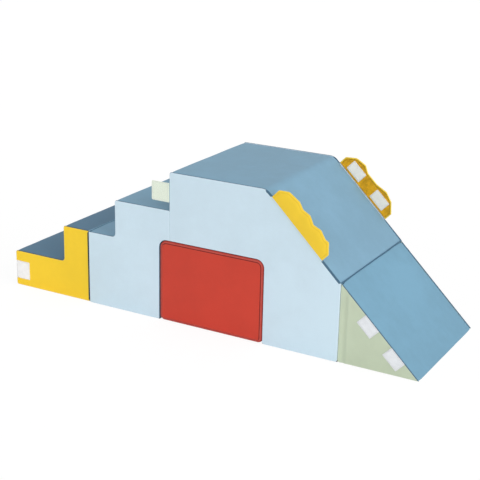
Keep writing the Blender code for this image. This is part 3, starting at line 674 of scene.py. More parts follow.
def rubbed_edge(graph: Graph, given: Sockets) -> dict[str, Socket]:
    """Rubbed edge with a painted highlight: strongest on the seam, broken up, gone at the given
    width.
    """
    near = graph.math("SUBTRACT", 1.0, graph.math("DIVIDE", given["Rim"], given["Width"]),
                      clamp=True)
    clouds = graph.noise(given["Place"], scale=70.0, detail=5.0, roughness=0.7)
    broken = graph.math("MULTIPLY_ADD", graph.step(clouds, low=0.35, high=0.65), 0.6, 0.4)
    return {"Mask": graph.math("MULTIPLY", graph.math("POWER", near, 1.6), broken)}


def sewn_binding(graph: Graph, given: Sockets) -> dict[str, Socket]:
    """Dark line along an edge, a sewn binding that is partly painted shade of the seam: full up to
    its width, then gone.
    """
    left = graph.math("SUBTRACT", given["Width"], given["Rim"])
    return {"Mask": graph.step(left, low=0.0, high=0.0003)}


def lockstitch(graph: Graph, given: Sockets) -> dict[str, Socket]:
    """Row of stitches at a distance from the edge, in the dip that the thread pulls."""
    off = graph.math("ABSOLUTE", graph.math("SUBTRACT", given["Rim"], given["Inset"]))
    reach = graph.math("DIVIDE", off, given["Thread"])
    beat = graph.math("FRACT", graph.math("DIVIDE", given["Run"], given["Pitch"]))
    middle = graph.math("ABSOLUTE", graph.math("SUBTRACT", beat, 0.5))
    dash = graph.step(middle, low=0.36, high=0.42, start=1.0, end=0.0)
    thread = graph.math("MULTIPLY", graph.step(reach, low=0.6, high=1.1, start=1.0, end=0.0), dash)
    dip = graph.step(reach, low=0.5, high=4.0, start=1.0, end=0.0)
    return {"Mask": thread, "Dip": dip,
            "Height": graph.math("MULTIPLY_ADD", thread, 1.6, graph.math("MULTIPLY", dip, -1.0))}


def plain_weave(graph: Graph, given: Sockets) -> dict[str, Socket]:
    """Plain weave across X and Z: warp and weft ridges that pass over in turn."""
    parts = graph.add("ShaderNodeSeparateXYZ")
    graph.feed(parts.inputs[0], given["Place"])
    rate = graph.math("DIVIDE", math.pi, given["Pitch"])
    level = graph.math("ADD", parts.outputs["X"], parts.outputs["Y"])
    warp = graph.math("SINE", graph.math("MULTIPLY", level, rate))
    weft = graph.math("SINE", graph.math("MULTIPLY", parts.outputs["Z"], rate))
    over = graph.math("MULTIPLY", warp, weft)
    return {"Height": graph.math("ABSOLUTE", over), "Shade": graph.step(over, low=-0.6, high=0.6)}


def fibre_pile(graph: Graph, given: Sockets) -> dict[str, Socket]:
    """Felted or looped pile: fibres at three scales, with painted shade darkening the hollows."""
    fine = graph.noise(given["Place"], scale=1400.0, detail=3.0, roughness=0.7)
    tufts = graph.noise(given["Place"], scale=320.0, detail=3.0, roughness=0.6)
    nap = graph.noise(given["Place"], scale=45.0, detail=3.0, roughness=0.6)
    both = graph.math("ADD", graph.math("MULTIPLY", fine, 0.45),
                      graph.math("MULTIPLY", tufts, 0.55))
    shade = graph.math("ADD", graph.math("MULTIPLY", both, 0.6), graph.math("MULTIPLY", nap, 0.4))
    return {"Height": both, "Shade": graph.step(shade, low=0.38, high=0.62)}


def scene_light(colour: str) -> Colour:
    """A display colour such as c9dfec as scene light."""
    shown = np.array([int(colour[i:i + 2], 16) / 255 for i in (0, 2, 4)])
    light = np.where(shown <= 0.04045, shown / 12.92, ((shown + 0.055) / 1.055) ** 2.4)
    return (*light.tolist(), 1.0)


def scaled(colour: Colour, share: float) -> Colour:
    """Colour made darker or lighter, and held under 1."""
    return (*[min(1.0, part * share) for part in colour[:3]], 1.0)


@dataclass(frozen=True)
class Stitching:
    """A row of stitches along a piece's edge."""

    inset: float  # distance from the edge
    pitch: float = 0.0042  # length of a stitch and the gap after it
    thread: float = 0.0006  # width of the thread
    colour: str = "d9dfe2"  # display colour of the thread
    DULLED = 0.22  # how much of the shadow shows beside the thread
    SHADOW = 0.45  # the shadow, as a share of the cloth's colour

    def sewn(self, graph: Graph, cloth: Colour, colour: Socket,
             height: Socket) -> tuple[Socket, Socket]:
        """Adds the row of stitches to a colour and a height.

        Args:
            graph: The material's nodes.
            cloth: Plain colour of the cloth.
            colour: Colour under the thread.
            height: Height under the thread.

        Returns:
            The colour and the height with the thread.
        """
        row = graph.use(lockstitch, Rim=graph.channel(Channel.RIM), Run=graph.channel(Channel.RUN),
                        Inset=self.inset, Pitch=self.pitch, Thread=self.thread)
        dulled = graph.blend(graph.math("MULTIPLY", row["Dip"], self.DULLED), colour,
                             scaled(cloth, self.SHADOW))
        return (graph.blend(row["Mask"], dulled, scene_light(self.colour)),
                graph.math("ADD", height, row["Height"]))


@dataclass(frozen=True)
class Finish:
    """What every finish has."""

    name: str  # name of its material
    slot: str  # slot of the record that it belongs to
    colour: str  # display colour
    roughness: float = 0.6  # mean roughness
    stitching: Stitching | None = None  # stitches along its edge, where it has them
    sheen: float = 0.0  # strength of its fibres' sheen
    RELIEF = (0.5, 0.0003)  # strength and depth of the relief
    CONSTANTS = {}  # values set on the shader itself

    def material(self) -> bpy.types.Material:
        """Material of the finish, made once."""
        made = bpy.data.materials.get(self.name)
        if made:
            return made
        made = bpy.data.materials.new(self.name)
        made.use_nodes = True
        shader = made.node_tree.nodes["Principled BSDF"]
        graph = Graph(made.node_tree)
        base = scene_light(self.colour)
        colour, height, roughness = self.surface(graph, graph.place(), base)
        if self.stitching:
            colour, height = self.stitching.sewn(graph, base, colour, height)
        bump = graph.add("ShaderNodeBump")
        for name, value in zip(("Strength", "Distance"), self.RELIEF):
            bump.inputs[name].default_value = value
        graph.feed(bump.inputs["Height"], height)
        shader.inputs["Roughness"].default_value = self.roughness
        for name, source in {"Base Color": colour, "Roughness": roughness,
                             "Normal": bump.outputs["Normal"], "Sheen Weight": self.sheen,
                             **self.CONSTANTS}.items():
            graph.feed(shader.inputs[name], source)
        return made

    def surface(self, graph: Graph, place: Socket, colour: Colour) -> Surface:
        """Builds what is each finish's own, before any stitches.

        Args:
            graph: The material's nodes.
            place: Object coordinates.
            colour: The finish's colour as scene light.

        Returns:
            Colour, height and roughness.
        """
        raise NotImplementedError


@dataclass(frozen=True)
class CoatedCloth(Finish):
    """Coated cloth with a pebbled grain, soft to the touch."""

    sheen: float = 0.03
    depth: float = 0.07  # how much darker the cloudy places are
    wear: float = 0.12  # how much paler the edges are: rubbed wear and a painted highlight
    wear_width: float = 0.006  # width of the pale edge, rubbed and painted as highlight
    cells: float = 1100.0  # grain cells in a metre
    binding: str = "4c6d84"  # display colour of the dark line on its edges: a binding, partly painted shade
    RELIEF = (0.35, 0.0002)
    CONSTANTS = {"Sheen Roughness": 0.5, "Specular IOR Level": 0.2}

    def surface(self, graph: Graph, place: Socket, colour: Colour) -> Surface:
        """Mottled colour, paler edges of rubbed wear and painted highlight, dark seam lines partly
        painted shade, pebbled height, uneven roughness.
        """
        rim = graph.channel(Channel.RIM)
        mottle = graph.use(dye_mottle, Place=place)["Shade"]
        grain = graph.use(pebbled_grain, Place=place, Cells=self.cells)
        wear = graph.use(rubbed_edge, Place=place, Rim=rim, Width=self.wear_width)["Mask"]
        dyed = graph.shades(mottle, colour, 1 - self.depth, 1 + self.depth)
        pebbled = graph.blend(graph.math("MULTIPLY", grain["Shade"], 0.12),
                              dyed, scaled(colour, 0.8))
        # Paler edges: rubbed wear together with a painted highlight on the rounded rims.
        pale = tuple(part + self.wear * (1 - part) for part in colour[:3]) + (1.0,)
        rubbed = graph.blend(wear, pebbled, pale)
        # Dark line along the seams: partly the binding's own colour, partly painted shade of the
        # seam's groove.
        bound_and_shaded = graph.use(sewn_binding, Rim=rim, Width=graph.channel(Channel.SEAM))
        rough = graph.math("MULTIPLY_ADD", mottle, 0.08, self.roughness - 0.04)
        rough = graph.math("SUBTRACT", rough, graph.math("MULTIPLY", wear, 0.1), clamp=True)
        return graph.blend(bound_and_shaded["Mask"], rubbed, scene_light(self.binding)), grain["Height"], rough


@dataclass(frozen=True)
class Felt(Finish):
    """Napped felt or loop pile."""

    sheen: float = 0.25
    depth: float = 0.16  # how much darker the hollows are: painted shade mixed with the pile's mottle
    RELIEF = (0.7, 0.0006)
    CONSTANTS = {"Sheen Roughness": 0.4, "Specular IOR Level": 0.15}

    def surface(self, graph: Graph, place: Socket, colour: Colour) -> Surface:
        """Fibrous colour and height, dull all over."""
        pile = graph.use(fibre_pile, Place=place)
        dyed = graph.shades(pile["Shade"], colour, 1 - self.depth, 1 + self.depth / 2)
        rough = graph.math("MULTIPLY_ADD", pile["Shade"], 0.06, self.roughness - 0.03)
        return dyed, pile["Height"], rough


@dataclass(frozen=True)
class Woven(Finish):
    """Plain woven cloth or tape."""

    sheen: float = 0.12
    pitch: float = 0.0007  # distance between threads
    CONSTANTS = {"Specular IOR Level": 0.25}

    def surface(self, graph: Graph, place: Socket, colour: Colour) -> Surface:
        """Threads that pass over and under, over a mottled dye."""
        weave = graph.use(plain_weave, Place=place, Pitch=self.pitch)
        mottle = graph.use(dye_mottle, Place=place)["Shade"]
        threads = graph.shades(weave["Shade"], colour, 0.86, 1.08)
        dyed = graph.blend(graph.math("MULTIPLY", mottle, 0.3), threads, scaled(colour, 0.9))
        rough = graph.math("MULTIPLY_ADD", mottle, 0.06, self.roughness - 0.03)
        return dyed, weave["Height"], rough


@dataclass(frozen=True)
class NonSlip(Finish):
    """Coated base cloth with rows of small raised grip dots."""

    pitch: float = 0.006  # distance between dots
    dot: float = 0.0014  # radius of a dot
    RELIEF = (0.9, 0.0006)

    def surface(self, graph: Graph, place: Socket, colour: Colour) -> Surface:
        """Dots on a square grid, a shade darker and smoother than the cloth."""
        cells = graph.add("ShaderNodeVectorMath", operation="SCALE")
        graph.feed(cells.inputs[0], place)
        cells.inputs["Scale"].default_value = 1 / self.pitch
        beat = graph.add("ShaderNodeVectorMath", operation="FRACTION")
        graph.feed(beat.inputs[0], cells.outputs[0])
        parts = graph.add("ShaderNodeSeparateXYZ")
        graph.feed(parts.inputs[0], beat.outputs[0])
        across = graph.math("SUBTRACT", parts.outputs["X"], 0.5)
        along = graph.math("SUBTRACT", parts.outputs["Y"], 0.5)
        away = graph.math("SQRT", graph.math("MULTIPLY_ADD", across, across,
                                             graph.math("MULTIPLY", along, along)))
        reach = self.dot / self.pitch
        dots = graph.step(away, 0.7 * reach, 1.1 * reach, start=1.0, end=0.0)
        cloudy = graph.use(dye_mottle, Place=place)["Shade"]
        base = graph.shades(cloudy, colour, 0.85, 1.1)
        return (graph.blend(dots, base, scaled(colour, 0.55)), dots,
                graph.math("MULTIPLY_ADD", dots, -0.25, self.roughness))


@dataclass(frozen=True)
class Foam(Finish):
    """Cut upholstery foam with open cells."""

    RELIEF = (0.8, 0.0007)

    def surface(self, graph: Graph, place: Socket, colour: Colour) -> Surface:
        """Open cells with painted shade in their pits, over slow yellowing."""
        cells = graph.add("ShaderNodeTexVoronoi")
        graph.feed(cells.inputs["Vector"], place)
        cells.inputs["Scale"].default_value = 700.0
        # The pits are painted darker: painted shade in the open cells.
        pits = graph.step(cells.outputs["Distance"], low=0.1, high=0.6)
        aged = graph.shades(graph.noise(place, scale=6.0, detail=3.0), colour, 1.0, 0.9)
        return (graph.blend(pits, scaled(colour, 0.75), aged), pits,
                graph.math("MULTIPLY_ADD", pits, 0.04, self.roughness - 0.04))


@dataclass(frozen=True)
class Metal(Finish):
    """Die-cast metal, rubbed at its faces."""

    RELIEF = (0.2, 0.00005)
    CONSTANTS = {"Metallic": 1.0}

    def surface(self, graph: Graph, place: Socket, colour: Colour) -> Surface:
        """Slight stains in the colour, hairline scratches in the height."""
        stains = graph.noise(place, scale=260.0, detail=4.0, roughness=0.65)
        return (graph.shades(stains, colour, 0.8, 1.1), graph.noise(place, scale=2600.0, detail=2.0),
                graph.math("MULTIPLY_ADD", stains, 0.25, self.roughness - 0.12))


@dataclass(frozen=True)
class Nylon(Finish):
    """Drawn nylon of a zip's coil."""

    RELIEF = (0.1, 0.0001)

    def surface(self, graph: Graph, place: Socket, colour: Colour) -> Surface:
        """Nearly even, with a slight dust."""
        dust = graph.noise(place, scale=120.0, detail=4.0)
        return (graph.shades(dust, colour, 0.85, 1.1), dust,
                graph.math("MULTIPLY_ADD", dust, 0.15, self.roughness - 0.08))


LIGHT_BLUE = CoatedCloth("light_blue_cloth", "light_blue", "d1e6f2", 0.65, depth=0.035)
MID_BLUE = CoatedCloth("mid_blue_cloth", "mid_blue", "83abc3", 0.62)
SLIDE_BLUE = CoatedCloth("slide_blue_cloth", "mid_blue", "79a6bf", 0.62)
DARK_BLUE = CoatedCloth("dark_blue_cloth", "dark_blue", "5b7f98", 0.62)
# Darker copy of the mid blue cloth for the wedge's hinge bead: painted shade of the hinge's groove.
SHADED_SEAM_BLUE = CoatedCloth("seam_blue_cloth", "mid_blue", "4b728d", 0.62)
# Its very dark line colour paints the shade of the hinge's gap.
YELLOW = CoatedCloth("yellow_cloth", "yellow", "fbd335", 0.65, depth=0.04, binding="26353f")
CREST_YELLOW = CoatedCloth("crest_yellow_cloth", "yellow", "f8d139", 0.65,
                           Stitching(0.0078, colour="ebc438"), depth=0.05, wear_width=0.004)
RED = CoatedCloth("red_cloth", "red", "cc4333", 0.6, depth=0.05, wear=0.05, binding="781e17")
# Shaded copy of the red cloth for the play block's band: painted shade on its rounded edges.
SHADED_RED = CoatedCloth("dark_red_cloth", "red", "bc3c2e", 0.6, depth=0.05, wear=0.05)
GREEN = CoatedCloth("green_cloth", "green", "c5d1b8", 0.65, depth=0.04)
PALE_GREEN = Woven("pale_green_cloth", "pale_green", "ebf5e4", 0.8,
                   Stitching(0.0040, colour="f3f7ef"))
FELT = Felt("ochre_felt", "felt_yellow", "edb024", 0.92, Stitching(0.0024, colour="b98d20"),
            depth=0.34)
LOOP = Felt("white_loop_pile", "loop_white", "fbfbfc", 0.95, Stitching(0.0026, colour="fcfcfd"),
            sheen=0.15, depth=0.07)
USED_LOOP = replace(LOOP, name="used_loop_pile", colour="e9ecf0")
WARM_LOOP = replace(LOOP, name="warm_loop_pile", colour="fef7ec")
BASE = NonSlip("non_slip_base", "base_grey", "565c61", 0.7)
TAPE = Woven("zip_tape_cloth", "zip_tape", "8ea9bb", 0.8, Stitching(0.0018, colour="7d9aad"))
COIL = Nylon("zip_coil_nylon", "zip_tape", "7d97a9", 0.4)
SLIDER = Metal("zip_slider_metal", "zip_slider", "a3a6a8", 0.38)
FOAM = Foam("upholstery_foam", "foam", "efebdb", 0.95)


def put(name: str, form: Shell | bpy.types.Mesh, finish: Finish, body: str,
        stands_for: Sequence[str] = ()) -> bpy.types.Object:
    """Puts a finished piece on the body it moves with.

    Args:
        name: Name of the piece.
        form: Its shell or its mesh, in the climber's frame.
        finish: Its finish.
        body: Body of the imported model.
        stands_for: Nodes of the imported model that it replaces.

    Returns:
        The piece.
    """
    mesh = form.mesh(name) if isinstance(form, Shell) else form
    mesh.materials.append(finish.material())
    piece = bpy.data.objects.new(name, mesh)
    bpy.context.scene.collection.objects.link(piece)
    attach(piece, body)
    if stands_for:
        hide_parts(*stands_for)
    log.info("%s: %d points on %s", name, len(mesh.vertices), body)
    return piece


# The climber's places

@dataclass
class Layout:
    """Places shared by the blocks: sizes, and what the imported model's boxes give."""

    low_tread: float = 0.2505  # length of the low step's tread and of the upper tread
    deck: float = 0.411  # length of the deck before the slope
    slope_foot: float = 0.304  # height of the main block's end face
    hinge_gap: float = 0.002  # air between two blocks that fold on each other
    panel: float = 0.0040  # thickness of a side panel at its seat
    pad: float = 0.0040  # thickness of a cover
    lining: float = 0.0030  # thickness of the tunnel's lining
    tunnel_bend: float = 0.032  # radius of the tunnel's upper corners
    step_round: float = 0.009  # rounding of a step's edge
    nook_round: float = 0.010  # rounding of a cover at a riser's foot
    hinge_round: float = 0.003  # rounding of the edges at the low step's hinge
    brow_round: float = 0.045  # rounding between the deck and the slope
    slope_seam_round: float = 0.012  # rounding of the main block's edge at the wedge's hinge
    wedge_lip_round: float = 0.0006  # rounding of the wedge's edge at that hinge
    foot_round: float = 0.008  # rounding of the side panels' lower corners
    deck_lip: float = 0.012  # how far the deck's cover comes down the top riser
    binding: float = 0.0012  # width of the dark line along the panels' upper edges: binding, partly painted shade of the seam
    RISES = 4

    def __post_init__(self) -> None:
        """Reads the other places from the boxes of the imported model's nodes."""
        step, left, right = (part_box(node) for node in (
            "low_step_base_panel", "main_base_panel_left", "main_base_panel_right"))
        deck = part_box("main_deck_cover")
        self.x_start, self.x_low_end = step[0].x, step[1].x  # the low step's two ends
        self.x_low_riser = self.x_start + self.low_tread
        self.x_main, self.x_tunnel = left[0].x, left[1].x  # block's start, tunnel's first wall
        self.x_tunnel_end, self.x_slope_end = right[0].x, right[1].x
        self.x_deck = deck[0].x  # top riser
        self.x_riser = self.x_deck - self.low_tread  # the main block's lower riser
        self.x_brow = self.x_deck + self.deck  # where the deck meets the slope
        self.x_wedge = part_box("wedge_base_panel")[0].x  # the wedge's back face
        self.low_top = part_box("low_step_tread_cover")[1].z
        self.deck_height = deck[1].z
        self.rise = self.deck_height / self.RISES
        self.upper_tread = 3 * self.rise
        self.tunnel_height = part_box("main_tunnel_lining")[1].z - self.lining
        self.cover_foot = step[1].z + HAIRLINE  # the covers' lower edges
        self.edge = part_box("main_back_arch_panel")[0].y + self.panel  # |Y| of the sewn side edges
        self.slope = math.atan2(self.deck_height - self.slope_foot, self.x_slope_end - self.x_brow)

    def slope_x(self, z: float) -> float:
        """X at which the slope passes a height."""
        return self.x_slope_end - (z - self.slope_foot) / math.tan(self.slope)

    def on_slope(self, down: Array, out: Array) -> Array:
        """Points a distance down the slope from its seam, and out of it.

        Args:
            down: Distances down the slope, less than 0 above the seam.
            out: Distances out of the slope.

        Returns:
            Points as rows of (x, z).
        """
        tangent = np.array([math.cos(self.slope), -math.sin(self.slope)])
        normal = np.array([math.sin(self.slope), math.cos(self.slope)])
        half = self.hinge_gap / 2
        seam = np.array([self.x_slope_end + half, self.slope_foot - half * math.tan(self.slope)])
        return seam + np.multiply.outer(down, tangent) + np.multiply.outer(out, normal)


PLACES = Layout()
ZIP_GAP = 0.0006  # air between a zip's tape and the panel round it
ZIP_ROUND = 0.001  # rounding of the notch for it
PATCH_ROUND = 0.003  # rounding of a patch's corners


def zip_notch(tape: str, ground: float, foot: float) -> list[Corner]:
    """Corners of the notch that a back panel leaves for its zip, from the far end.

    Args:
        tape: Node of the zip's tape.
        ground: Height of the panel's lowest edge.
        foot: Height of its edge over the zip.

    Returns:
        (x, z, radius) of the four corners.
    """
    low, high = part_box(tape)
    near, far = low.x - ZIP_GAP, high.x + ZIP_GAP
    return [(far, ground, ZIP_ROUND), (far, foot, ZIP_ROUND), (near, foot, ZIP_ROUND),
            (near, ground, ZIP_ROUND)]


# Sewn pieces

@dataclass
class SidePanel:
    """Padded panel on the side of a block."""

    node: str  # node that it replaces
    corners: Sequence[Corner]  # its outline in (x, z, radius)
    side: Side
    finish: Finish
    body: str  # body that it moves with
    seed: int  # number that fixes its wrinkles
    seams: Sequence[float]  # width of the dark line, binding and painted shade, on the side that each corner starts
    padding: Padding = Padding()  # how it swells
    creases: Sequence[Crease] = ()  # its folds
    SPACING = 0.0065
    ROWS = (0.0004, 0.0012, 0.0024, 0.004, 0.007, 0.012)
    THINNEST = 0.0008

    def __post_init__(self) -> None:
        """Works out the outline and the seat once."""
        self.edge = outline(self.corners, closed=True)
        low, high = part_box(self.node)
        self.seat = high.y if self.side is Side.FRONT else low.y

    def face(self, places: Array) -> Array:
        """Y of the panel's face: its seat, and outwards the height over it, less the folds.

        Args:
            places: Points as rows of (x, z).

        Returns:
            One Y for each place.
        """
        rim, run, _ = rim_field(places, self.edge)
        height = self.padding.height(places, rim, run, self.seed)
        for crease in self.creases:
            height = height - crease.fall(places)
        return self.seat + self.side.value * np.maximum(height, self.THINNEST)

    def build(self) -> bpy.types.Object:
        """Builds the panel and puts it on its body."""
        cut = CutPiece.from_rim(self.edge, self.SPACING, self.ROWS)
        sides = rim_field(cut.places, np.array([corner[:2] for corner in self.corners]))[2]
        cut = replace(cut, seam=np.array(self.seams)[sides])
        return put(self.node + "_cloth", cut.shell(self.face(cut.places), self.seat), self.finish,
                   self.body, [self.node])


@dataclass
class Patch:
    """Hook-and-loop patch, sewn flat onto a panel or a flap."""

    node: str  # node that it replaces
    corners: Sequence[Corner]  # its outline in (x, z, radius)
    flat: tuple[float, float]  # width and length it was cut to
    body: str  # body that it moves with
    under: Callable[[Array], Array] | float  # Y of what it lies on, at given places or everywhere
    outward: int  # sign of Y that its face looks to
    rests_on: str  # piece that it lies on
    finish: Felt = LOOP
    thickness: float = 0.0012
    SPACING = 0.003
    ROWS = (0.0003, 0.0009, 0.0018, 0.0027, 0.0036)
    EDGE = 0.0009  # width of the rounded edge
    DIP = 0.0008  # width of the dip at the stitches
    TUFTS = 0.012  # size of the pile's slow relief

    def build(self) -> bpy.types.Object:
        """Builds the patch: its border dips at the stitches, its middle stands up."""
        cut = CutPiece.from_rim(outline(self.corners, closed=True), self.SPACING, self.ROWS)
        seat = self.under(cut.places) if callable(self.under) else self.under
        dip = bell(cut.rim, self.finish.stitching.inset, self.DIP)
        tufts = waves(cut.places, self.TUFTS, seed=len(self.node))
        body = 1 - 0.5 * edge_drop(cut.rim, self.EDGE) - 0.3 * dip + 0.25 * tufts
        shell = cut.shell(seat + self.outward * (HAIRLINE + self.thickness * body),
                          seat + self.outward * HAIRLINE)
        piece = put(self.node + "_pile", shell, self.finish, self.body, [self.node])
        return piece


@dataclass
class Cover:
    """Cover that runs over a block between its two side panels."""

    node: str  # node that it replaces
    path: Sequence[Corner]  # its outer line in (x, z, radius)
    finish: Finish
    body: str  # body that it moves with
    seed: int  # number that fixes its wrinkles
    thickness: float = PLACES.pad
    pull: float = 0.0024  # how far the side seams draw it in
    ripple: float = 0.0007  # depth of its slow relief
    gather: float = 0.0008  # depth of the gathers along its side seams
    mitre: float = 0.0  # how far the end of the inner line is cut back
    SPACING = 0.008
    SIDE_COLUMNS = (0.0, 0.002, 0.005, 0.01, 0.018, 0.03, 0.05, 0.075, 0.11)  # of the half width
    MIDDLE_COLUMNS = 13
    PULL_REACH = 0.016  # distance over which the pull fades
    PULL_WAVE = (0.2, 0.031)  # share by which it varies, and the wave's length over tau
    GATHERS = (0.019, 0.014)  # pitch and reach
    RIPPLE_SIZE = 0.17
    RIPPLE_FROM = 0.05  # distance from a side seam at which the slow relief is full
    DEEPEST = 0.9  # share of the thickness that a dip may reach

    def build(self) -> bpy.types.Object:
        """Builds the cover.

        A point of the outer face is path + share * (inner line - path), where
        the share is the sum of the seam's pull, the gathers and the slow
        relief over the thickness.
        """
        low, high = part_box(self.node)
        half = (high.y - low.y) / 2
        coarse = outline(self.path)
        counts = divisions(coarse, self.SPACING)
        outer = divided(coarse, counts)
        within = outline(self.path, self.thickness)
        within[-1] -= direction(within[-2], within[-1]) * self.mitre
        inner = divided(within, counts)
        run = run_along(outer)
        near = half * np.array(self.SIDE_COLUMNS)
        middle = np.linspace(near[-1], half, self.MIDDLE_COLUMNS + 1)[1:]
        left = np.concatenate([near, middle]) - half
        across = np.concatenate([left, -left[-2::-1]])
        rim = half - np.abs(across)
        stations, columns = len(outer), len(across)
        rims = np.tile(rim, stations)
        runs = np.repeat(run, columns)
        places = np.stack([runs, np.tile(across, stations)], axis=1)
        swing, length = self.PULL_WAVE
        depth = self.pull * np.exp(-rims / self.PULL_REACH) * (1 + swing * np.sin(runs / length))
        depth = depth + self.gather * pucker(rims, runs, *self.GATHERS, self.seed)
        depth = depth + self.ripple * waves(places, self.RIPPLE_SIZE, self.seed + 1) * ramp(
            rims, self.RIPPLE_FROM)
        share = np.clip(depth / self.thickness, 0.0, self.DEEPEST).reshape(stations, columns, 1)
        shown = outer[:, None, :] + share * (inner - outer)[:, None, :]
        hidden = upright(inner[:, None, :], across)[:, ::-1]
        shell = carried_shell(np.concatenate([upright(shown, across), hidden], axis=1),
                              np.tile(np.concatenate([rim, rim[::-1]]), (stations, 1)),
                              np.tile(run[:, None], (1, 2 * columns)))
        return put(self.node + "_cloth", shell, self.finish, self.body, [self.node])


def softened_copy(node: str, soft: float) -> bpy.types.Mesh:
    """Mesh of a node with its edges rounded, for pieces whose form is the solid's own.

    Args:
        node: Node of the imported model.
        soft: Radius of the rounded edges.

    Returns:
        The rounded mesh.
    """
    bm = bmesh.new()
    bm.from_mesh(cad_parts[node].data)
    bmesh.ops.remove_doubles(bm, verts=bm.verts, dist=WELD)
    bmesh.ops.dissolve_limit(bm, angle_limit=math.radians(1), verts=bm.verts, edges=bm.edges)
    sharp = [edge for edge in bm.edges if edge.is_manifold
             and edge.calc_face_angle(0.0) > math.radians(35)]
    bmesh.ops.bevel(bm, geom=sharp, offset=soft, segments=3, profile=0.5, affect="EDGES",
                    clamp_overlap=True)
    bmesh.ops.triangulate(bm, faces=[face for face in bm.faces if len(face.verts) > 4])
    return outward_mesh(bm, bpy.data.meshes.new(node), (NO_EDGE, 0.0, 0.0))


@dataclass
class FoamBlock:
    """Foam core inside a cover, in the form of its node's solid."""

    node: str  # node that it replaces
    body: str  # body that it moves with
    finish: Finish = FOAM
    soft: float = 0.0015  # rounding of its edges
    KIND = "_block"

    def build(self) -> bpy.types.Object:
        """Copies the node's solid, merged, and rounds its edges."""
        return put(self.node + self.KIND, softened_copy(self.node, self.soft), self.finish,
                   self.body, [self.node])


@dataclass
class BasePanel(FoamBlock):
    """Non-slip panel under a block, in the form of its node's solid."""

    finish: Finish = BASE
    soft: float = 0.0009
    KIND = "_cloth"


@dataclass
class HingeBead:
    """Sewn bead that two blocks fold about."""

    node: str  # node that it replaces
    finish: Finish
    flare: float = 1.0  # how much wider than tall it is
    pinch: float = 0.0  # how sharply it narrows to its two sides
    STITCH = 0.0042  # distance between its overcast stitches
    STATIONS = 6  # rings in each stitch
    AROUND = 20  # points of a ring
    DRAWN_IN = 0.10  # share of the radius that a stitch takes

    def build(self) -> bpy.types.Object:
        """Builds the bead: a rod, drawn in a little at each overcast stitch.

        Its section is flare * cos * |cos| ** pinch across and sin up, a stitch
        is a cosine's eighth power, and the ends round off.
        """
        low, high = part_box(self.node)
        centre = (low + high) / 2
        radius = (high.z - low.z) / 2
        steps = int((high.y - low.y) / self.STITCH * self.STATIONS)
        along = np.linspace(low.y, high.y, steps)
        turn = np.linspace(0, math.tau, self.AROUND, endpoint=False)
        wide = self.flare * np.cos(turn) * np.abs(np.cos(turn)) ** self.pinch
        drawn = radius * (1 - self.DRAWN_IN * np.cos(math.tau * along / self.STITCH) ** 8)
        ends = ramp(along[-1] - low.y - np.abs(2 * along - low.y - high.y), radius)
        drawn = drawn * np.sqrt(1 - (1 - ends) ** 2 * 0.6)
        section = np.stack([centre.x + np.multiply.outer(drawn, wide),
                            centre.z + np.multiply.outer(drawn, np.sin(turn))], axis=-1)
        return put(self.node + "_bead", carried_shell(upright(section, along[:, None])),
                   self.finish, "main_block", [self.node])


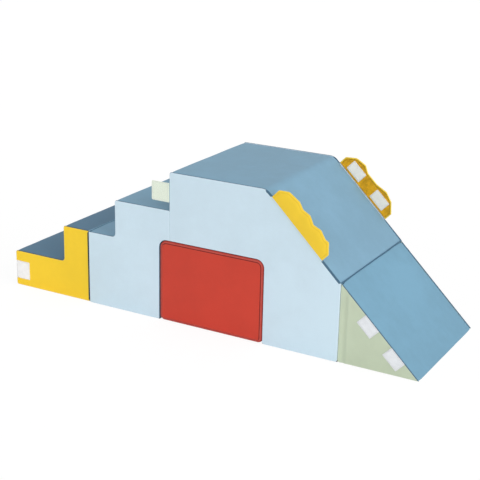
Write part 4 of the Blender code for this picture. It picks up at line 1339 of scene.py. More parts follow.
@dataclass
class Zip:
    """Coil zip on the back of a block, with its slider."""

    label: str  # start of the nodes' names
    body: str  # body of the block
    foam: str  # foam that the tape lies on
    cloth: float = 0.0011  # thickness of the tape
    pitch: float = 0.0022  # length of one turn of the coil
    wire: float = 0.00045  # radius of the coil's wire
    half: float = 0.0024  # half the coil's width
    lift: float = 0.00045  # half the coil's height
    bare: float = 0.004  # length of tape without a coil at each end
    tab: float = 0.0162  # length of the slider's pull
    tab_half: float = 0.0034  # half its width at the free end
    tab_thick: float = 0.0011  # thickness of the pull
    POINTS = 10  # points of the wire's line in one turn
    AROUND = 6  # points round the wire

    def build(self) -> None:
        """Builds the tape, the coil, the slider's finish and its pull."""
        tape = f"{self.label}_zip_tape"
        slider = f"{self.label}_zip_slider"
        low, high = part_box(tape)
        middle = (low.z + high.z) / 2
        self.build_tape(tape, low, high)
        put(tape + "_coil", self.coil(low, high, middle), COIL, self.body)
        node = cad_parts[slider]
        node.data.materials.clear()
        node.data.materials.append(SLIDER.material())
        put(slider + "_pull", self.pull(slider, middle), SLIDER, f"{self.label}_zip")

    def build_tape(self, tape: str, low: Vector, high: Vector) -> None:
        """Builds the woven tape: a thin strip whose two edges are sewn down.

        Args:
            tape: Node of the tape.
            low: Lowest corner of the node.
            high: Highest corner of the node.
        """
        edge = outline(rectangle((low.x, low.z), (high.x, high.z), ZIP_ROUND), closed=True)
        cut = CutPiece.from_rim(edge, 0.004, (0.0004, 0.0012, 0.0024, 0.004))
        swell = self.cloth * (0.75 + 0.25 * ramp(cut.rim, 0.0012))
        swell = swell - 0.0002 * bell(cut.rim, TAPE.stitching.inset, 0.0006)
        piece = put(tape + "_cloth", cut.shell(low.y + swell, low.y), TAPE, self.body, [tape])

    def coil(self, low: Vector, high: Vector, middle: float) -> Shell:
        """Coil of nylon wire along the tape.

        The wire's line is x + pitch * turns, a flattened circle in Y and Z, and
        a small circle is carried along it.

        Args:
            low: Lowest corner of the tape.
            high: Highest corner of the tape.
            middle: Height of the coil's line.

        Returns:
            The coil.
        """
        turns = int((high.x - low.x - 2 * self.bare) / self.pitch)
        angle = np.linspace(0, math.tau * turns, turns * self.POINTS + 1)
        x = low.x + self.bare + self.pitch * angle / math.tau
        centre = low.y + self.cloth + self.wire + self.lift + HAIRLINE / 2
        line = np.stack([x, centre - self.lift * np.cos(angle),
                         middle + self.half * np.sin(angle)], axis=1)
        tangent = np.gradient(line, axis=0)
        tangent /= np.linalg.norm(tangent, axis=1)[:, None]
        first = np.cross(tangent, np.array([1.0, 0.0, 0.0]))
        first /= np.linalg.norm(first, axis=1)[:, None]
        second = np.cross(tangent, first)
        turn = np.linspace(0, math.tau, self.AROUND, endpoint=False)[:, None]
        circle = np.cos(turn) * first[:, None, :] + np.sin(turn) * second[:, None, :]
        return carried_shell(line[:, None, :] + self.wire * circle)

    def pull(self, slider: str, middle: float) -> Shell:
        """Flat pull tab that hangs from the slider, wider at its free end.

        Args:
            slider: Node of the slider.
            middle: Height of the coil's line.

        Returns:
            The tab.
        """
        _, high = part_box(slider)
        start, end = high.x - 0.004, high.x - 0.004 + self.tab
        near, far = self.tab_half * 0.7, self.tab_half
        corners = [(start, middle - near, 0.0015), (start, middle + near, 0.0015),
                   (end, middle + far, 0.002), (end, middle - far, 0.002)]
        cut = CutPiece.from_rim(outline(corners, closed=True), 0.0014, (0.0003, 0.0007))
        edge = (1 - ramp(cut.rim, 0.0007)) ** 2
        seat = high.y + HAIRLINE
        return cut.shell(seat + self.tab_thick - 0.0005 * edge, seat + 0.0003 * edge)


# Blocks

@dataclass
class LowStep:
    """Low step: two treads and a riser, hinged to the main block."""

    body: str = "low_step"  # body that its pieces move with
    patch_length: float = 0.0685  # length of its patches
    patch_height: float = 0.076  # height of its patches
    patch_low: float = 0.031  # height of their lower edges
    patch_margin: float = 0.0015  # distance from the first face to a patch
    panel_nook: float = 0.014  # rounding of a panel at the riser's foot
    hinge_binding: float = 0.0080  # width of the dark strip on the panels' edges at the hinge: painted shade of the hinge's gap, with the dark cover's wrap

    def corners(self, foot: float, foot_round: float, nook: float) -> list[Corner]:
        """Outline of the block's side down to a foot height."""
        at = PLACES
        return [(at.x_start, foot, foot_round), (at.x_start, at.rise, at.step_round),
                (at.x_low_riser, at.rise, nook), (at.x_low_riser, at.low_top, at.step_round),
                (at.x_low_end, at.low_top, at.hinge_round), (at.x_low_end, foot, foot_round)]

    def build(self) -> None:
        """Builds the block's pieces."""
        at = PLACES
        FoamBlock("low_step_foam", self.body).build()
        BasePanel("low_step_base_panel", self.body).build()
        Cover("low_step_tread_cover", self.corners(at.cover_foot, 0.0, at.nook_round), DARK_BLUE,
              self.body, seed=11).build()
        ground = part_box("low_step_front_panel")[0].z
        low = (at.x_start + self.patch_margin, self.patch_low)
        high = (low[0] + self.patch_length, self.patch_low + self.patch_height)
        for side in Side:
            node = f"low_step_{side.label}_panel"
            corners = self.corners(ground, at.foot_round, self.panel_nook)
            if side is Side.BACK:
                corners += zip_notch("low_step_zip_tape", ground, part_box(node)[0].z)
            # Dark line on the upper edges, and a wide dark strip at the hinge: painted shade of the
            # hinge's gap.
            seams = (at.binding,) * 4 + (self.hinge_binding,) + (0.0,) * (len(corners) - 5)
            panel = SidePanel(node, corners, side, YELLOW, self.body, 21 + side.value, seams)
            panel.build()
            Patch(f"low_step_{side.label}_patch", rectangle(low, high, PATCH_ROUND),
                  (self.patch_length, self.patch_height), self.body, panel.face, side.value,
                  node + "_cloth").build()
        Zip("low_step", self.body, "low_step_foam_block").build()


@dataclass
class MainBlock:
    """Main block: stairs, deck and slope round a tunnel."""

    body: str = "main_block"  # body that its pieces move with
    slope_binding: float = 0.0080  # width of the dark line on the slope's edges: binding, partly painted shade of the seam
    crest_binding: float = 0.0005  # width of what shows of that dark line along a crest's seam
    tunnel_binding: float = 0.0013  # width of the dark line round the tunnel: painted shade of the gap at its mouth
    panel_nook: float = 0.015  # rounding of a panel at a riser's foot
    lining_pull: float = 0.0004  # how far the lining is drawn in, and the depth of its wrinkles

    def build(self) -> None:
        """Builds the block's pieces."""
        for part in ("left_leg", "right_leg", "beam", "deck"):
            FoamBlock(f"main_foam_{part}", self.body).build()
        for part in ("left", "right"):
            BasePanel(f"main_base_panel_{part}", self.body).build()
        self.build_covers()
        for side in Side:
            self.build_panels(side)
        HingeBead("low_step_hinge_seam", MID_BLUE, flare=1.6, pinch=1.6).build()
        # The wedge's bead wears the darker blue: painted shade of the hinge's groove.
        HingeBead("wedge_hinge_seam", SHADED_SEAM_BLUE).build()
        for part in ("left", "right"):
            Zip(f"main_{part}", self.body, f"main_foam_{part}_leg_block").build()

    def stairs(self, nook: float) -> list[Corner]:
        """Corners of the stairs up to the upper tread, with a nook of the given radius."""
        at = PLACES
        return [(at.x_main, at.low_top, at.hinge_round), (at.x_riser, at.low_top, nook),
                (at.x_riser, at.upper_tread, at.step_round)]

    def brow(self) -> list[Corner]:
        """Corners of the brow and of the slope's seam."""
        at = PLACES
        return [(at.x_brow, at.deck_height, at.brow_round),
                (at.x_slope_end, at.slope_foot, at.slope_seam_round)]

    def build_covers(self) -> None:
        """Builds the stair cover, the deck cover and the tunnel's lining."""
        at = PLACES
        lip = at.deck_height - at.deck_lip
        stairs = [(at.x_main, at.cover_foot, 0.0), *self.stairs(at.nook_round),
                  (at.x_deck, at.upper_tread, at.nook_round), (at.x_deck, lip - HAIRLINE, 0.0)]
        deck = [(at.x_deck, lip, 0.0), (at.x_deck, at.deck_height, at.step_round), *self.brow(),
                (at.x_slope_end, at.cover_foot, 0.0)]
        lining = [(at.x_tunnel_end, at.cover_foot, 0.0),
                  (at.x_tunnel_end, at.tunnel_height, at.tunnel_bend),
                  (at.x_tunnel, at.tunnel_height, at.tunnel_bend),
                  (at.x_tunnel, at.cover_foot, 0.0)]
        Cover("main_stair_cover", stairs, MID_BLUE, self.body, seed=31).build()
        Cover("main_deck_cover", deck, MID_BLUE, self.body, seed=33).build()
        Cover("main_tunnel_lining", lining, DARK_BLUE, self.body, seed=35, thickness=at.lining,
              pull=self.lining_pull, gather=self.lining_pull, ripple=self.lining_pull).build()

    def build_panels(self, side: Side) -> None:
        """Builds the two panels of one side, which meet at a seam over the tunnel.

        Args:
            side: Side of the climber.
        """
        at = PLACES
        stair_node = f"main_{side.label}_stair_panel"
        arch_node = f"main_{side.label}_arch_panel"
        foot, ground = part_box(stair_node)[0].z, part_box("main_front_stair_panel")[0].z
        seam_left, seam_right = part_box(stair_node)[1].x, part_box(arch_node)[0].x
        brow, slope_end = self.brow()
        crest = Crest(side, FRONT_SHARES)
        ends = np.array([-crest.from_hinge - crest.length, -crest.from_hinge])
        crest_ends = [(x, z, 0.0) for x, z in at.on_slope(ends, np.zeros(2)).tolist()]
        stair = [(at.x_main, ground, at.foot_round), *self.stairs(self.panel_nook),
                 (seam_left, at.upper_tread, 0.0), (seam_left, at.tunnel_height, 0.0),
                 (at.x_tunnel, at.tunnel_height, at.tunnel_bend - HAIRLINE),
                 (at.x_tunnel, ground, at.foot_round)]
        arch = [(seam_right, at.tunnel_height, 0.0), (seam_right, at.upper_tread, 0.0),
                (seam_right, at.deck_height, at.step_round), brow, *crest_ends, slope_end,
                (at.x_slope_end, ground, at.foot_round)]
        mouth = [(at.x_tunnel_end, ground, at.foot_round),
                 (at.x_tunnel_end, at.tunnel_height, at.tunnel_bend)]
        stair_seams = (0.0, *(at.binding,) * 3, 0.0, self.tunnel_binding, self.tunnel_binding, 0.0)
        arch_seams = (0.0, at.binding, at.binding, self.slope_binding, self.crest_binding,
                      self.slope_binding, 0.0)
        mouth_seams = (0.0, self.tunnel_binding, self.tunnel_binding)
        if side is Side.BACK:
            stair += zip_notch("main_left_zip_tape", ground, foot)
            arch += zip_notch("main_right_zip_tape", ground, foot)
            stair_seams += (0.0,) * 4
            arch_seams += (0.0,) * 4
        SidePanel(stair_node, stair, side, LIGHT_BLUE, self.body, 41 + side.value,
                  stair_seams).build()
        SidePanel(arch_node, arch + mouth, side, LIGHT_BLUE, self.body, 45 + side.value,
                  arch_seams + mouth_seams).build()


@dataclass
class SlideWedge:
    """Slide wedge, hinged to the main block at the slope's seam."""

    body: str = "wedge"  # body that its pieces move with
    patch_length: float = 0.0745  # length of its patches
    patch_width: float = 0.047  # width of its patches
    patch_margin: float = 0.0015  # distance from the slope's edge down to a patch
    # Distances down the slope to the patches' middles.
    patch_places: tuple[float, float] = (0.177, 0.3215)
    fold_in: float = 0.019  # distance from the back face to the fold in its panels
    fold_depth: float = 0.0036  # depth of that fold
    fold_width: float = 0.007  # width of that fold
    fold_ends: tuple[float, float] = (-0.04, 0.30)  # heights of its two ends
    bulge: float = 0.0016  # how far the panels swell past the back face
    bulge_below: float = 0.016  # distance from the lip down to where that swell ends
    bulge_round: float = 0.03  # rounding of the swell
    toe_lift: float = 0.0004  # height of the slope cover's lower edge
    front_binding: float = 0.0022  # width of the dark line on the front panel's slope edge: binding, partly painted shade
    back_binding: float = 0.0026  # width of the dark line on the back panel's slope edge: binding, partly painted shade

    def patch_corners(self, middle: float, low: float) -> list[Corner]:
        """Corners of a patch that follows the slope."""
        start, end = middle - self.patch_length / 2, middle + self.patch_length / 2
        high = low + self.patch_width
        places = PLACES.on_slope(np.array([start, start, end, end]), np.array([low, high, high, low]))
        return [(x, z, PATCH_ROUND) for x, z in places.tolist()]

    def build(self) -> None:
        """Builds the block's pieces."""
        at = PLACES
        FoamBlock("wedge_foam", self.body).build()
        self.build_base("wedge_base_panel")
        top = at.slope_foot - at.hinge_gap * math.tan(at.slope)
        path = [(at.x_wedge, at.cover_foot, 0.0), (at.x_wedge, top, at.wedge_lip_round),
                (at.slope_x(self.toe_lift), self.toe_lift, 0.0)]
        Cover("wedge_slope_cover", path, SLIDE_BLUE, self.body, seed=51,
              mitre=at.pad / math.tan(at.slope)).build()
        back = at.x_wedge - self.bulge
        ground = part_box("wedge_front_panel")[0].z
        fold_start, fold_end = ((at.x_wedge + self.fold_in, height) for height in self.fold_ends)
        fold = Crease(fold_start, fold_end, self.fold_width, self.fold_depth)
        for side, binding in ((Side.FRONT, self.front_binding), (Side.BACK, self.back_binding)):
            node = f"wedge_{side.label}_panel"
            corners = [(back, ground, at.foot_round),
                       (back, top - self.bulge_below, self.bulge_round),
                       (at.x_wedge, top, at.wedge_lip_round), (at.slope_x(ground), ground, 0.0)]
            if side is Side.BACK:
                corners += zip_notch("wedge_zip_tape", ground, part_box(node)[0].z)
            panel = SidePanel(node, corners, side, GREEN, self.body, 55 + side.value,
                              (0.0, 0.0, binding) + (0.0,) * (len(corners) - 3),
                              Padding(rim_drop=0.0003), [fold])
            panel.build()
            for number, middle in enumerate(self.patch_places, 1):
                Patch(f"wedge_{side.label}_patch_{number}",
                      self.patch_corners(middle, -self.patch_margin - self.patch_width),
                      (self.patch_length, self.patch_width), self.body, panel.face, side.value,
                      node + "_cloth", USED_LOOP).build()
        Zip("wedge", self.body, "wedge_foam_block").build()

    def build_base(self, node: str) -> None:
        """Builds the base panel: a slab whose end follows the slope cover's inner face.

        Args:
            node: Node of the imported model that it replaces.
        """
        at = PLACES
        low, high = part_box(node)
        thick = at.cover_foot - HAIRLINE
        over, under = (at.slope_x(z) - at.pad / math.sin(at.slope) - 2 * HAIRLINE
                       for z in (thick, 0.0))
        section = np.array([(low.x, 0.0), (low.x, thick), (over, thick), (under, 0.0)])
        shell = carried_shell(upright(section, np.array([[low.y], [high.y]])))
        put(node + "_cloth", shell, BASE, self.body, [node])


@dataclass
class PlayBlock:
    """Play block that fills the tunnel and draws out of it."""

    body: str = "insert_block"  # body that its pieces move with
    clearance: float = 0.0009  # air between it and the tunnel
    edge_round: float = 0.010  # radius of the band's turn onto each end face
    foot_round: float = 0.020  # radius of its two lower edges
    back_foot_round: float = 0.0078  # radius of the back panel's lower corners
    base_inset: float = 0.004  # distance from a lower edge's bend to the base panel
    roll: float = 0.004  # length of flat band after each turn, which the rolls keep under the block
    band: float = 0.0035  # thickness of the band
    gather: float = 0.20  # share of that thickness that the gathers take
    binding: float = 0.0034  # width of the dark line on the panels: seam binding, partly painted shade
    # Its width at the front panel's left foot and under the panel.
    foot_bindings: tuple[float, float] = (0.0010, 0.0008)
    TURN_POINTS = 9  # points of the profile's turn at each end face
    FLAT_POINTS = 25  # points of the flat run between the rolls
    SPACING = 0.008

    def build(self) -> None:
        """Builds the block's pieces."""
        at = PLACES
        low, high = at.x_tunnel + self.clearance, at.x_tunnel_end - self.clearance
        top = at.tunnel_height - self.clearance
        head = at.tunnel_bend - self.clearance
        around = [(low, 0.0, self.foot_round), (low, top, head), (high, top, head),
                  (high, 0.0, self.foot_round)]
        seam = self.foot_round + self.base_inset
        FoamBlock("insert_foam", self.body).build()
        path = [(low + seam, 0.0, 0.0), *around, (high - seam, 0.0, 0.0)]
        base = [(high - seam - HAIRLINE, 0.0, 0.0), (low + seam + HAIRLINE, 0.0, 0.0)]
        roll = self.TURN_POINTS + 1
        # The band and its rolls wear the shaded red: painted shade where the edges turn away from the
        # light.
        self.build_band("insert_band", "", path, SHADED_RED, 61)
        self.build_band("insert_base_panel", "", base, BASE, 62, slice(roll, -roll))
        for name, span in (("_front_roll", slice(roll)), ("_back_roll", slice(-roll, None))):
            self.build_band("insert_base_panel", name, base, SHADED_RED, 62, span)
        rim = self.edge_round + HAIRLINE
        upper = [(low + rim, top - rim, head - rim), (high - rim, top - rim, head - rim)]
        front, back = ([(low + rim, rim, foot), *upper, (high - rim, rim, foot)]
                       for foot in (self.foot_round - rim, self.back_foot_round))
        back += zip_notch("insert_zip_tape", rim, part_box("insert_back_panel")[0].z)
        padding = Padding(thickness=self.band, ripple=0.0009, ripple_size=0.15)
        left, under = self.foot_bindings
        SidePanel("insert_front_panel", front, Side.FRONT, RED, self.body, 63,
                  (left, self.binding, self.binding, under), padding).build()
        SidePanel("insert_back_panel", back, Side.BACK, RED, self.body, 64,
                  (self.binding,) * 4 + (0.0,) * 3 + (self.binding,), padding).build()
        Zip("insert", self.body, "insert_foam_block").build()

    def build_band(self, node: str, part: str, path: Sequence[Corner], finish: Finish, seed: int,
                   span: slice = slice(None)) -> None:
        """Builds a band, or a part of it, that turns in over the foam at both faces.

        The profile is a quarter circle at each face joined by a straight run,
        outside, and the same circle less the thickness, inside.

        Args:
            node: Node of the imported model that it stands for.
            part: End of the piece's name, where it is only a part of the node.
            path: Its outer line in (x, z, radius).
            finish: Its finish.
            seed: Number that fixes its wrinkles.
            span: Which of the profile's points it has.
        """
        low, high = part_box(node)
        edge = (high.y - low.y) / 2
        angle = np.linspace(math.pi / 2, 0, self.TURN_POINTS)
        turned_in = edge - self.edge_round - self.roll
        straight = np.linspace(-1, 1, self.FLAT_POINTS) * (turned_in - HAIRLINE)
        straight = np.concatenate([[-turned_in], straight, [turned_in]])

        def profile(radius: float) -> Array:
            """(depth, inset) points from the front face round to the back face."""
            depth = -edge + self.edge_round - radius * np.sin(angle)
            inset = self.edge_round - radius * np.cos(angle)
            flat = np.full(len(straight), self.edge_round - radius)
            return np.stack([np.concatenate([depth, straight, -depth[::-1]]),
                             np.concatenate([inset, flat, inset[::-1]])], axis=1)

        outside = profile(self.edge_round)[span]
        within = profile(self.edge_round - self.band)[span]
        coarse = outline(path)
        counts = divisions(coarse, self.SPACING)
        run = run_along(divided(coarse, counts))

        def lines(points: Array) -> Array:
            """Grid of points: one line along the path for each point of the profile."""
            rows = [divided(outline(path, inset), counts) for inset in points[:, 1]]
            return upright(np.stack(rows, axis=1), points[:, 0])

        outer, inner = lines(outside), lines(within)
        rims = np.tile(edge - np.abs(outside[:, 0]), (len(run), 1))
        runs = np.tile(run[:, None], (1, len(outside)))
        gathers = pucker(rims.ravel(), runs.ravel(), 0.017, 0.012, seed).reshape(rims.shape)
        outer = outer + self.gather * gathers[..., None] * (inner - outer)
        shell = carried_shell(np.concatenate([outer, inner[:, ::-1]], axis=1),
                              np.concatenate([rims, rims[:, ::-1]], axis=1),
                              np.concatenate([runs, runs], axis=1))
        put(node + (part or "_cloth"), shell, finish, self.body, () if part else [node])


# Flaps

FRONT_SHARES = (
    (0.0, 0.48, 0.15), (0.10, 0.84, 0.25), (0.28, 0.94, 0.15), (0.378, 0.83, 0.10),
    (0.488, 0.93, 0.125), (0.60, 0.765, 0.10), (0.71, 0.90, 0.125), (0.828, 0.78, 0.10),
    (0.885, 0.83, 0.10), (1.0, 0.42, 0.075))
BACK_SHARES = (
    (0.0, 0.44, 0.15), (0.115, 0.875, 0.25), (0.268, 1.0, 0.125), (0.37, 0.825, 0.10),
    (0.56, 0.825, 0.15), (0.73, 0.975, 0.125), (0.875, 0.835, 0.15), (1.0, 0.42, 0.075))


@dataclass
class Crest:
    """Scalloped flap along the edge of the slope.

    A padded outer ply rolls round the free edge and the hem, so that it shows as a
    border round the felt of the inner face.
    """

    side: Side
    # One row for each peak or valley, down the slope: share of the length, share of the
    # height, and the bend's radius as a share of the height.
    shares: Sequence[Corner]
    length: float = 0.288  # length along the slope
    tall: float = 0.080  # height over the slope that the shares are of
    from_hinge: float = 0.1045  # distance from the wedge's hinge up to its lower end
    axis_out: float = 0.0020  # distance of the fold's axis from the slope and from the side's edge
    ply: float = 0.0010  # thickness of the outer ply
    back: float = 0.00205  # how far the felt's face lies in from the fold's plane
    puff: float = 0.0050  # swell of the outer ply at its middle
    puff_reach: float = 0.025  # distance from the free edge at which the swell is full
    rise_over: float = 0.017  # height over the axis in which the swell rises from the hem
    hem: float = 0.0032  # radius of the hem on the fold's axis
    hem_wrap: float = 0.75  # how far the plies reach below the axis, as a share of that radius
    bead: float = 0.0030  # radius of the rolled free edge
    bead_in: float = 0.0004  # how far the roll's middle lies in from the fold's plane
    patch_margin: float = 0.0065  # distance from the fold's axis up to a patch
    patch_thickness: float = 0.0010  # thickness of its patches
    SPACING = 0.004
    ROWS = (0.0004, 0.0014, 0.0030, 0.0046, 0.0057, 0.0063, 0.0078, 0.0100)
    WADDING_ROWS = (0.0006, 0.002)
    FELT_SPACING = 0.0035
    FELT_ROWS = (0.0005, 0.0015, 0.003, 0.005)
    SETTLED = 0.006  # distance from an edge at which wrinkles are full

    def __post_init__(self) -> None:
        """Works out the names, the fold's plane and the outer ply's edge once."""
        self.body = f"crest_{self.side.label}"
        self.depth = self.side.value * (PLACES.edge + self.axis_out)
        self.seat = self.ply - self.back
        self.root = self.axis_out - self.hem_wrap * self.hem
        self.edge = outline(self.corners(self.root), closed=True)

    def corners(self, root: float) -> list[Corner]:
        """Corners of the scalloped outline.

        Args:
            root: Height over the slope at which it starts and ends.

        Returns:
            (x, z, radius) of each corner, down the slope.
        """
        start = -self.from_hinge - self.length
        along, height, radius = np.array(self.shares).T
        down = start + self.length * np.concatenate([[0.0], along, [1.0]])
        out = np.concatenate([[root], self.tall * height, [root]])
        rounding = np.concatenate([[0.0], self.tall * radius, [0.0]])
        return np.column_stack([PLACES.on_slope(down, out), rounding]).tolist()

    def hem_field(self, places: Array) -> tuple[Array, Array, Array]:
        """How the plies lie about the hem.

        The half width is that of a circle, and the plies part over one hem's
        radius above it.

        Args:
            places: Points as rows of (x, z).

        Returns:
            Height over the fold's axis, the hem's half width there, and how free the
            plies are.
        """
        normal = np.array([math.sin(PLACES.slope), math.cos(PLACES.slope)])
        over = (places - PLACES.on_slope(0.0, self.axis_out)) @ normal
        free = np.clip(over / self.hem - 1, 0.0, 1.0)
        return over, np.sqrt(np.maximum(self.hem ** 2 - over ** 2, 0.0)), free ** 2 * (3 - 2 * free)

    def faces(self, places: Array) -> tuple[Array, Array]:
        """How far the outer ply's two faces lie out of the fold's plane.

        The outer face is an arc round the hem. Over it a dome rises as a parabola
        away from the free edge, less gathers and a stitched groove, and at that
        edge a half circle rolls in past the felt. The inner face is the outer one
        less the ply, and closes on the hem.

        Args:
            places: Points as rows of (x, z).

        Returns:
            The outer and the inner face.
        """
        rim, run, _ = rim_field(places, self.edge, closed=False)
        over, arc, free = self.hem_field(places)
        dome = self.seat + HAIRLINE + self.ply + self.puff * (
            1 - (1 - ramp(rim, self.puff_reach)) ** 2)
        dome = dome - 0.0006 * bell(rim, CREST_YELLOW.stitching.inset, 0.0011)
        dome = dome - 0.0007 * pucker(rim, run, 0.015, 0.008, 71) * ramp(rim, self.SETTLED)
        risen = 1 - bell(np.maximum(over, 0.0), 0.0, self.rise_over)
        face = np.where(over < 0, arc, self.hem + (dome - self.hem) * risen)
        rolled = ramp(rim, 2 * self.bead)
        turn = np.sqrt(1 - (1 - rolled) ** 2)
        roll = np.maximum(self.bead * np.sqrt(1 - (2 * rolled - 1) ** 2), HAIRLINE)
        closed = HAIRLINE / 2
        inner = closed + (face - self.ply - closed) * free
        return ((face + self.bead_in) * turn - self.bead_in,
                np.where(rolled < 1, np.minimum(-self.bead_in - roll, -arc * turn), inner))

    def build(self) -> None:
        """Builds the outer ply, the wadding, the inner ply with its hem, and the patches."""
        sign = self.side.value
        cut = CutPiece.from_rim(self.edge, self.SPACING, self.ROWS)
        rim, run, _ = rim_field(cut.places, self.edge, closed=False)
        front, back = self.faces(cut.places)
        put(self.body + "_outer_cloth", replace(cut, rim=rim, run=run).shell(
            self.depth + sign * front, self.depth + sign * back), CREST_YELLOW, self.body,
            [self.body + "_outer_ply"])
        self.build_wadding(self.body + "_wadding")
        felt = self.body + "_inner_felt"
        self.build_felt(felt)
        wedge = SlideWedge()
        for number, middle in enumerate(wedge.patch_places, 1):
            corners = wedge.patch_corners(-middle, self.axis_out + self.patch_margin)
            Patch(f"{self.body}_patch_{number}", corners, (wedge.patch_length, wedge.patch_width),
                  self.body, self.depth - sign * self.back, -sign, felt, WARM_LOOP,
                  self.patch_thickness).build()

    def build_wadding(self, node: str) -> None:
        """Builds the wadding, which fills the room under the outer ply.

        Args:
            node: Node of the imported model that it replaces.
        """
        inset = 2.5 * self.bead
        corners = self.corners(self.axis_out + 2.2 * self.hem - inset)
        cut = CutPiece.from_rim(outline(corners, inset, closed=True), self.SPACING,
                                self.WADDING_ROWS)
        room = self.depth + self.side.value * (self.faces(cut.places)[1] - HAIRLINE)
        shell = cut.shell(room, self.depth + self.side.value * (self.seat + HAIRLINE))
        put(node + "_block", shell, FOAM, self.body, [node])

    def build_felt(self, name: str) -> None:
        """Builds the felt inner ply, which wrinkles and wraps the inner half of the hem.

        Args:
            name: Name of the piece.
        """
        sign = self.side.value
        inset = 2 * self.bead + HAIRLINE
        edge = outline(self.corners(self.root - inset), inset, closed=True)
        cut = CutPiece.from_rim(edge, self.FELT_SPACING, self.FELT_ROWS)
        _, arc, free = self.hem_field(cut.places)
        sag = 0.0009 * waves(cut.places, 0.035, 81 + sign) * ramp(cut.rim, self.SETTLED)
        groove = 0.0003 * bell(cut.rim, FELT.stitching.inset, 0.0009)
        face = np.maximum(self.back - np.minimum(sag + groove, 0.0007), arc)
        closed = -HAIRLINE / 2
        shell = cut.shell(self.depth - sign * face,
                          self.depth + sign * (closed + (self.seat - closed) * free))
        put(name, shell, FELT, self.body, [self.body + "_inner_ply"])


@dataclass
class Tab:
    """Small tab on the top riser's edge that laps over the folded low step."""

    side: Side
    length: float = 0.077  # distance from the top riser to its free end
    tall: float = 0.075
    low: float = 0.483  # height of its lower edge
    ply: float = 0.0024
    hem: float = 0.0024  # radius of the hem on the fold's axis
    hem_wrap: float = 0.75  # how far it reaches past the axis, as a share of that radius
    axis_out: float = 0.0015  # distance of the fold's axis from the riser and from the side's edge
    soft: float = 0.006  # rounding of its free corners
    patch_inset: float = 0.010  # distance from its edges to the patch
    patch_thickness: float = 0.0010  # thickness of the patch
    SPACING = 0.003
    ROWS = (0.0004, 0.001, 0.002, 0.003, 0.004, 0.0055)

    def build(self) -> None:
        """Builds the ply, whose root rolls up as the hem, and the patch on its inner face.

        Half the thickness is the ply's, and near the axis that of a circle.
        """
        at = PLACES
        sign = self.side.value
        name = f"tab_{self.side.label}"
        depth = sign * (at.edge + self.axis_out)
        axis = at.x_deck - self.axis_out
        end, root = at.x_deck - self.length, axis + self.hem_wrap * self.hem
        high = self.low + self.tall
        corners = [(end, self.low, self.soft), (end, high, self.soft), (root, high, 0.0),
                   (root, self.low, 0.0)]
        cut = CutPiece.from_rim(outline(corners, closed=True), self.SPACING, self.ROWS)
        drop = edge_drop(cut.rim, 0.001)
        body = 1 - 0.5 * drop - 0.25 * bell(cut.rim, PALE_GREEN.stitching.inset, 0.001)
        body = body - 0.25 * waves(cut.places, 0.03, 91 + sign) * ramp(cut.rim, 0.006)
        half = self.ply / 2
        roll = np.sqrt(np.maximum(self.hem ** 2 - (cut.places[:, 0] - axis) ** 2, 0.0))
        shell = cut.shell(depth + sign * np.maximum(half * body, roll),
                          depth - sign * np.maximum(half * (1 - drop / 2), roll))
        piece = put(name + "_cloth", shell, PALE_GREEN, name, [name + "_ply"])
        inset = self.patch_inset
        patch = rectangle((end + inset, self.low + inset), (axis - inset, high - inset),
                          PATCH_ROUND)
        Patch(name + "_patch", patch, (axis - end - 2 * inset, self.tall - 2 * inset), name,
              depth - sign * half, -sign, name + "_cloth", WARM_LOOP, self.patch_thickness).build()


# Stage

@dataclass(frozen=True)
class Camera:
    """Camera at the photograph's viewing angle."""

    place: tuple[float, float, float] = (2.1056, -3.774, 1.7312)  # where it stands, in metres
    yaw: float = 29.004  # its turn about the vertical, in degrees
    pitch: float = -18.586  # its tilt from level, in degrees
    roll: float = 1.276  # its turn about its own axis, in degrees
    lens: float = 86.39  # focal length in millimetres
    sensor: float = 36.0  # width of its sensor in millimetres

    def build(self) -> None:
        """Builds the camera and makes it the scene's own."""
        data = bpy.data.cameras.new("photo_camera")
        data.lens = self.lens
        data.sensor_width = self.sensor
        data.clip_end = 100.0
        camera = bpy.data.objects.new("photo_camera", data)
        turn = (Matrix.Rotation(math.radians(self.yaw), 4, "Z")
                @ Matrix.Rotation(math.radians(90 + self.pitch), 4, "X")
                @ Matrix.Rotation(math.radians(self.roll), 4, "Z"))
        camera.matrix_world = Matrix.Translation(self.place) @ turn
        bpy.context.scene.collection.objects.link(camera)
        bpy.context.scene.camera = camera


@dataclass(frozen=True)
class Lamp:
    """Wide, far lamp."""

    name: str
    towards: tuple[float, float, float]  # direction from the climber to it
    strength: float
    spread: float  # its width as an angle, in degrees

    def build(self) -> None:
        """Builds the lamp."""
        data = bpy.data.lights.new(self.name, "SUN")
        data.energy = self.strength
        data.angle = math.radians(self.spread)
        lamp = bpy.data.objects.new(self.name, data)
        lamp.matrix_world = Vector(self.towards).to_track_quat("Z", "Y").to_matrix().to_4x4()
        bpy.context.scene.collection.objects.link(lamp)


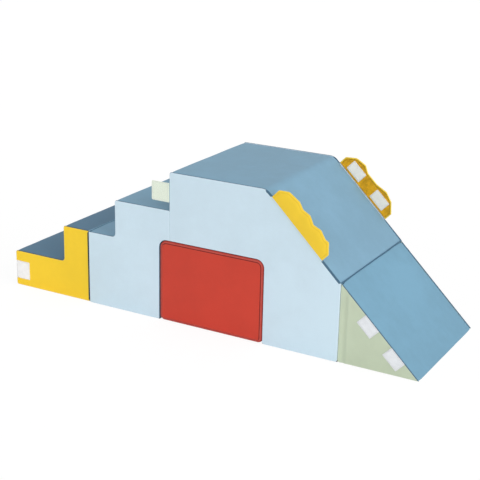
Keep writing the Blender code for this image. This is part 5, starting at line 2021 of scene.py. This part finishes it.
@dataclass(frozen=True)
class Studio:
    """White floor and background, and soft light from the right and the front."""

    sky: float = 0.60  # light of the background, as a share of how bright it shows
    lamps: tuple[Lamp, ...] = (Lamp("key_lamp", (0.94, -0.15, 0.30), 1.35, 50),
                               Lamp("fill_lamp", (0.15, -0.95, 0.27), 0.85, 60))
    floor_white: float = 0.9  # brightness of the floor's paint
    floor_size: float = 30.0  # length of the floor's side
    glow: float = 1.05  # brightness that the floor shows by itself
    glow_share: float = 0.86  # share of that in what a camera sees of the floor

    def build(self) -> None:
        """Builds the sky, the lamps and the floor."""
        scene = bpy.context.scene
        scene.view_settings.view_transform = "Standard"
        world = bpy.data.worlds.new("white_studio")
        scene.world = world
        world.use_nodes = True
        graph = Graph(world.node_tree)
        background = world.node_tree.nodes["Background"]
        background.inputs["Color"].default_value = (1.0, 1.0, 1.0, 1.0)
        graph.feed(background.inputs["Strength"], graph.math(
            "MULTIPLY_ADD", self.seen(graph), 1 - self.sky, self.sky))
        for lamp in self.lamps:
            lamp.build()
        self.build_floor()

    def seen(self, graph: Graph) -> Socket:
        """1 for rays that show the background itself, straight or in a reflection."""
        path = graph.add("ShaderNodeLightPath")
        either = graph.math("MAXIMUM", path.outputs["Is Camera Ray"], path.outputs["Is Glossy Ray"])
        return graph.math("MAXIMUM", either, path.outputs["Is Transmission Ray"])

    def build_floor(self) -> None:
        """Builds the floor, which shows white and keeps a faint shadow."""
        half = self.floor_size / 2
        mesh = bpy.data.meshes.new("studio_floor")
        mesh.from_pydata([(-half, -half, 0), (half, -half, 0), (half, half, 0), (-half, half, 0)],
                         [], [(0, 1, 2, 3)])
        floor = bpy.data.objects.new("studio_floor", mesh)
        floor.location.z = -HAIRLINE
        bpy.context.scene.collection.objects.link(floor)
        paint = bpy.data.materials.new("studio_white")
        paint.use_nodes = True
        graph = Graph(paint.node_tree)
        nodes = paint.node_tree.nodes
        nodes.remove(nodes["Principled BSDF"])
        diffuse = graph.add("ShaderNodeBsdfDiffuse")
        diffuse.inputs["Color"].default_value = (*(self.floor_white,) * 3, 1.0)
        glow = graph.add("ShaderNodeEmission")
        glow.inputs["Strength"].default_value = self.glow
        mixed = graph.add("ShaderNodeMixShader")
        graph.feed(mixed.inputs[0], graph.math("MULTIPLY", self.seen(graph), self.glow_share))
        graph.feed(mixed.inputs[1], diffuse.outputs[0])
        graph.feed(mixed.inputs[2], glow.outputs[0])
        graph.feed(nodes["Material Output"].inputs["Surface"], mixed.outputs[0])
        mesh.materials.append(paint)


def main() -> None:
    """Builds the climber's pieces in order, then the stage."""
    logging.basicConfig(level=logging.INFO, format="%(name)s %(message)s")
    parts = [LowStep(), MainBlock(), SlideWedge(), PlayBlock(), Crest(Side.FRONT, FRONT_SHARES),
             Crest(Side.BACK, BACK_SHARES), Tab(Side.FRONT), Tab(Side.BACK), Camera(), Studio()]
    for part in parts:
        log.info("building %s", type(part).__name__)
        part.build()


if __name__ == "__main__":
    main()
